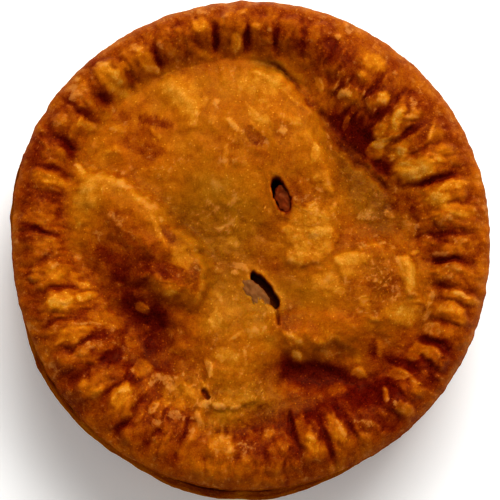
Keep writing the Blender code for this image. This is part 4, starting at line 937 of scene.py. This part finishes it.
# %% [markdown]
# ## The finish: baked hot water crust
#
# The crust is flour, lard and egg wash, baked hard. To the eye it is a broken, mottled brown with a soft
# greasy sheen. The colour comes from how far each place has baked, with painted shade and highlight in it,
# through a row of browns, each step redder as it darkens; fine noise breaks it up, pale specks stand partly for
# painted glints, pale flour dust shows where the surface is dry and as painted highlight on small rises, and
# fat turns it olive, partly as painted shade in the hollows.

# %% Colours, and one helper that adds a node


def linear(hex_colour):
    """A linear colour from an sRGB hex value."""
    parts = [int(hex_colour[i:i + 2], 16) / 255 for i in (1, 3, 5)]
    return tuple(p / 12.92 if p <= 0.04045 else ((p + 0.055) / 1.055) ** 2.4 for p in parts) + (1.0,)


def add(tree, kind, settings=None, links=None):
    """Adds one node, sets its values and joins its inputs."""
    node = tree.nodes.new(kind)
    for key, value in (settings or {}).items():
        if isinstance(key, int) or key in node.inputs:
            node.inputs[key].default_value = value
        else:
            setattr(node, key, value)
    for key, socket in (links or {}).items():
        tree.links.new(socket, node.inputs[key])
    return node


def new_material(name):
    """An empty material with its output."""
    material = bpy.data.materials.new(name)
    material.use_nodes = True
    material.node_tree.nodes.clear()
    return material, material.node_tree, add(material.node_tree, "ShaderNodeOutputMaterial")


# %% The baked crust
CRUST_BROWNS = ((0.0, "#D8A24A"), (0.14, "#CC881C"), (0.30, "#BA6F09"), (0.46, "#A45904"), (0.62, "#893B00"),
                (0.77, "#6D1B00"), (0.88, "#5C0A00"), (0.95, "#3A0500"), (1.0, "#120100"))
SOAKED_AND_SHADED_BROWNS = ((0.0, "#CC943C"), (0.30, "#AC7210"), (0.50, "#905806"), (0.70, "#6E3402"), (0.95, "#3A0C00"), (1.0, "#120300"))


def fill_ramp(node, colours):
    """Gives a colour ramp its stops."""
    stops = node.color_ramp.elements
    stops[0].position, stops[0].color = colours[0][0], linear(colours[0][1])
    stops[1].position, stops[1].color = colours[-1][0], linear(colours[-1][1])
    for position, colour in colours[1:-1]:
        stops.new(position).color = linear(colour)


def crust_material(name, crumb_size, crumb_depth, gloss):
    """Baked hot water crust; crumb_size is the width of its grit in mm, crumb_depth its height, and gloss its shine."""
    material, tree, output = new_material(name)
    place = add(tree, "ShaderNodeTexCoord").outputs["Object"]
    bake_and_shade = add(tree, "ShaderNodeAttribute", {"attribute_name": "bake_and_shade"}).outputs["Fac"]
    dry_and_highlight = add(tree, "ShaderNodeAttribute", {"attribute_name": "dry_and_highlight"}).outputs["Fac"]
    oily_and_shade = add(tree, "ShaderNodeAttribute", {"attribute_name": "oily_and_shade"}).outputs["Fac"]
    # Scale is one over the size of a lump in metres: layers of pastry 4 mm and 1.8 mm across, and grit.
    layer = add(tree, "ShaderNodeTexNoise", {"Scale": 1 / 0.004, "Detail": 6.0, "Roughness": 0.62, "Distortion": 0.8}, {"Vector": place})
    mottle = add(tree, "ShaderNodeTexNoise", {"Scale": 1 / 0.0018, "Detail": 6.0, "Roughness": 0.7, "Distortion": 0.4}, {"Vector": place})
    grit = add(tree, "ShaderNodeTexNoise", {"Scale": 1 / (crumb_size * MM), "Detail": 3.0, "Roughness": 0.6}, {"Vector": place})
    layered = add(tree, "ShaderNodeMapRange", {"From Min": 0.47, "From Max": 0.53, "To Min": 0.028, "To Max": -0.028}, {"Value": layer.outputs["Fac"]})
    broken = add(tree, "ShaderNodeMapRange", {"From Min": 0.46, "From Max": 0.60, "To Min": 0.020, "To Max": -0.032}, {"Value": mottle.outputs["Fac"]})
    finer = add(tree, "ShaderNodeMath", {"operation": "MULTIPLY_ADD", 1: 0.42, 2: -0.21}, {0: grit.outputs["Fac"]})
    both = add(tree, "ShaderNodeMath", {"operation": "ADD"}, {0: layered.outputs[0], 1: broken.outputs[0]})
    calm = add(tree, "ShaderNodeMath", {"operation": "MULTIPLY_ADD", 1: -0.6, 2: 0.9}, {0: oily_and_shade})
    both = add(tree, "ShaderNodeMath", {"operation": "MULTIPLY"}, {0: both.outputs[0], 1: calm.outputs[0]})
    mixed = add(tree, "ShaderNodeMath", {"operation": "ADD"}, {0: both.outputs[0], 1: finer.outputs[0]})
    # Specks of fat and flour, about 0.3 mm across, one to each 1.4 mm of crust; they stand partly for painted glints of
    # the lamp.
    cells = add(tree, "ShaderNodeTexVoronoi", {"Scale": 1 / 0.0014, "Randomness": 1.0}, {"Vector": place})
    speck_and_glint = add(tree, "ShaderNodeMapRange", {"From Min": 0.05, "From Max": 0.20, "To Min": -0.26, "To Max": 0.0}, {"Value": cells.outputs["Distance"]})
    with_specks_and_glints = add(tree, "ShaderNodeMath", {"operation": "ADD"}, {0: mixed.outputs[0], 1: speck_and_glint.outputs[0]})
    baked_and_shaded = add(tree, "ShaderNodeMath", {"operation": "ADD"}, {0: bake_and_shade, 1: with_specks_and_glints.outputs[0]})
    ramp = add(tree, "ShaderNodeValToRGB", None, {"Fac": baked_and_shaded.outputs[0]})
    fill_ramp(ramp, CRUST_BROWNS)
    soaked_and_shaded = add(tree, "ShaderNodeValToRGB", None, {"Fac": baked_and_shaded.outputs[0]})
    fill_ramp(soaked_and_shaded, SOAKED_AND_SHADED_BROWNS)
    greasy_and_shaded = add(tree, "ShaderNodeMix", {"data_type": "RGBA"}, {0: oily_and_shade, 6: ramp.outputs["Color"], 7: soaked_and_shaded.outputs["Color"]})
    # Flour and torn layers lie as ragged pale flecks, most of them where the crust is dry, and on small rises and
    # raised marks, partly as painted highlight.
    powder = add(tree, "ShaderNodeMath", {"operation": "MULTIPLY_ADD", 1: 0.9}, {0: mottle.outputs["Fac"], 2: finer.outputs[0]})
    drier_and_highlit = add(tree, "ShaderNodeMath", {"operation": "MULTIPLY_ADD", 1: 0.30}, {0: dry_and_highlight, 2: powder.outputs[0]})
    dusted_and_highlit = add(tree, "ShaderNodeMapRange", {"From Min": 0.57, "From Max": 0.72, "To Max": 0.48}, {"Value": drier_and_highlit.outputs[0]})
    colour = add(tree, "ShaderNodeMix", {"data_type": "RGBA", 7: linear("#CE924E")}, {0: dusted_and_highlit.outputs[0], 6: greasy_and_shaded.outputs[2]})
    rough = add(tree, "ShaderNodeMapRange", {"To Min": 0.50, "To Max": 0.34}, {"Value": oily_and_shade})
    height = add(tree, "ShaderNodeMath", {"operation": "ADD"}, {0: grit.outputs["Fac"], 1: mottle.outputs["Fac"]})
    bump = add(tree, "ShaderNodeBump", {"Strength": 0.3, "Distance": crumb_depth * MM}, {"Height": height.outputs[0]})
    shader = add(tree, "ShaderNodeBsdfPrincipled", {"IOR": 1.45, "Metallic": 0.0, "Specular IOR Level": gloss, "Specular Tint": linear("#FFD090"),
                 "Subsurface Weight": 0.5,
                 "Subsurface Radius": (1.0, 0.35, 0.1), "Subsurface Scale": 0.002},
                 {"Base Color": colour.outputs[2], "Roughness": rough.outputs[0], "Normal": bump.outputs[0]})
    tree.links.new(shader.outputs[0], output.inputs["Surface"])
    return material


# %% Cooked pork and jelly
def filling_material(name):
    """Minced pork set in jelly: grains of meat 1.5 mm across, greyish where fat, red-brown where lean, and wet; the
    lean colour on the lumps' lower flanks is partly painted shade.
    """
    material, tree, output = new_material(name)
    place = add(tree, "ShaderNodeTexCoord").outputs["Object"]
    lean = add(tree, "ShaderNodeAttribute", {"attribute_name": "lean"}).outputs["Fac"]
    mince = add(tree, "ShaderNodeTexVoronoi", {"Scale": 1 / 0.0015}, {"Vector": place})
    veins = add(tree, "ShaderNodeTexNoise", {"Scale": 1 / 0.0008, "Detail": 3.0}, {"Vector": place})
    fat = add(tree, "ShaderNodeMix", {"data_type": "RGBA", 6: linear("#784C24"), 7: linear("#98683E")}, {0: veins.outputs["Fac"]})
    meat = add(tree, "ShaderNodeMix", {"data_type": "RGBA", 6: linear("#8A3404"), 7: linear("#5A1A02")}, {0: mince.outputs["Distance"]})
    colour = add(tree, "ShaderNodeMix", {"data_type": "RGBA"}, {0: lean, 6: fat.outputs[2], 7: meat.outputs[2]})
    bump = add(tree, "ShaderNodeBump", {"Strength": 0.3, "Distance": 0.2 * MM}, {"Height": mince.outputs["Distance"]})
    shader = add(tree, "ShaderNodeBsdfPrincipled", {"Roughness": 0.32, "IOR": 1.4, "Specular IOR Level": 0.14, "Specular Tint": linear("#FFD090"), "Subsurface Weight": 0.3,
                 "Subsurface Radius": (1.0, 0.3, 0.15), "Subsurface Scale": 0.001},
                 {"Base Color": colour.outputs[2], "Normal": bump.outputs[0]})
    tree.links.new(shader.outputs[0], output.inputs["Surface"])
    return material


# %% Give each piece its finish
vent_filling.data.materials.append(filling_material("cooked_pork_and_jelly"))
plain_crust = crust_material("plain_hot_water_crust", 0.5, 0.25, 0.0)
lid_crust.data.materials.append(crust_material("egg_washed_hot_water_crust", 0.42, 0.25, 0.16))
lid_crust.data.materials.append(plain_crust)
case_crust.data.materials.append(plain_crust)
for face in lid_crust.data.polygons[GRID * GRID:]:
    face.material_index = 1

# %% [markdown]
# ## Floor, light and camera
#
# The pie stands on a plain white table under one large soft lamp on its north side and a pale room. The
# camera looks almost straight down from high up, a little from the south-west, so that only a thin strip of
# the wall shows past the lid's edge.

# %% Floor
shape = bmesh.new()
bmesh.ops.create_grid(shape, x_segments=1, y_segments=1, size=1.5)
bmesh.ops.translate(shape, vec=(0, 0, -0.0002), verts=shape.verts)
floor = new_object("table_top", shape)
material, tree, output = new_material("white_table")
shader = add(tree, "ShaderNodeBsdfPrincipled", {"Base Color": linear("#F4F4F2"), "Roughness": 0.7, "Emission Color": linear("#FFFFFF"), "Emission Strength": 0.14})
tree.links.new(shader.outputs[0], output.inputs["Surface"])
floor.data.materials.append(material)
floor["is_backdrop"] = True

# %% Light


def aim(place, target):
    """A rotation that turns a lamp or a camera's -Z from place to target."""
    return (Vector(target) - Vector(place)).to_track_quat("-Z", "Y").to_euler()


def lamp(name, place, size, power):
    """A square soft lamp that looks at the pie."""
    light = bpy.data.lights.new(name, "AREA")
    light.shape = "SQUARE"
    light.size = size
    light.energy = power
    made = bpy.data.objects.new(name, light)
    made.location = place
    made.rotation_euler = aim(place, (0, 0, 0.04))
    bpy.context.scene.collection.objects.link(made)
    return made


lamp("key", (0.20, 0.66, 1.00), 0.80, 12.5)
world = bpy.data.worlds.new("pale_room")
bpy.context.scene.world = world
world.use_nodes = True
world.node_tree.nodes["Background"].inputs["Color"].default_value = (1.0, 1.0, 1.0, 1.0)
world.node_tree.nodes["Background"].inputs["Strength"].default_value = 0.26
bpy.context.scene.view_settings.view_transform = "Standard"
bpy.context.scene.view_settings.look = "High Contrast"

# %% Camera
CAMERA_DISTANCE = 0.80
CAMERA_TILT = 7.0
CAMERA_SIDE = 260.0
AIM = Vector((0.00026, -0.00051, 0.042))
VIEW_WIDTH = 0.1275
tilt, side = math.radians(CAMERA_TILT), math.radians(CAMERA_SIDE)
back = Vector((math.sin(tilt) * math.cos(side), math.sin(tilt) * math.sin(side), math.cos(tilt)))
right = Vector((0, 1, 0)).cross(back).normalized()
up = back.cross(right)
camera = bpy.data.objects.new("camera", bpy.data.cameras.new("camera"))
camera.matrix_world = Matrix.Translation(AIM + back * CAMERA_DISTANCE) @ Matrix((right, up, back)).transposed().to_4x4()
camera.data.sensor_width = 36.0
camera.data.lens = 36.0 * CAMERA_DISTANCE / VIEW_WIDTH
camera.data.clip_end = 20.0
bpy.context.scene.collection.objects.link(camera)
bpy.context.scene.camera = camera
print("camera lens, mm:", round(camera.data.lens, 1))

# %% Put the pieces on the pie's body
for piece, slot in ((lid_crust, "baked_crust"), (case_crust, "baked_crust"), (vent_filling, "pork_filling")):
    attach(piece, "root")
    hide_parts("pork_pie")

# %% Compare the sizes and finish
bpy.context.view_layer.update()
sizes = {"solid": [list(corner) for corner in solid_box], "visual": [list(corner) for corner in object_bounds()]}
for name, (low, high) in sizes.items():
    print(name, "box, mm:", [round(v / MM, 2) for v in low], [round(v / MM, 2) for v in high])
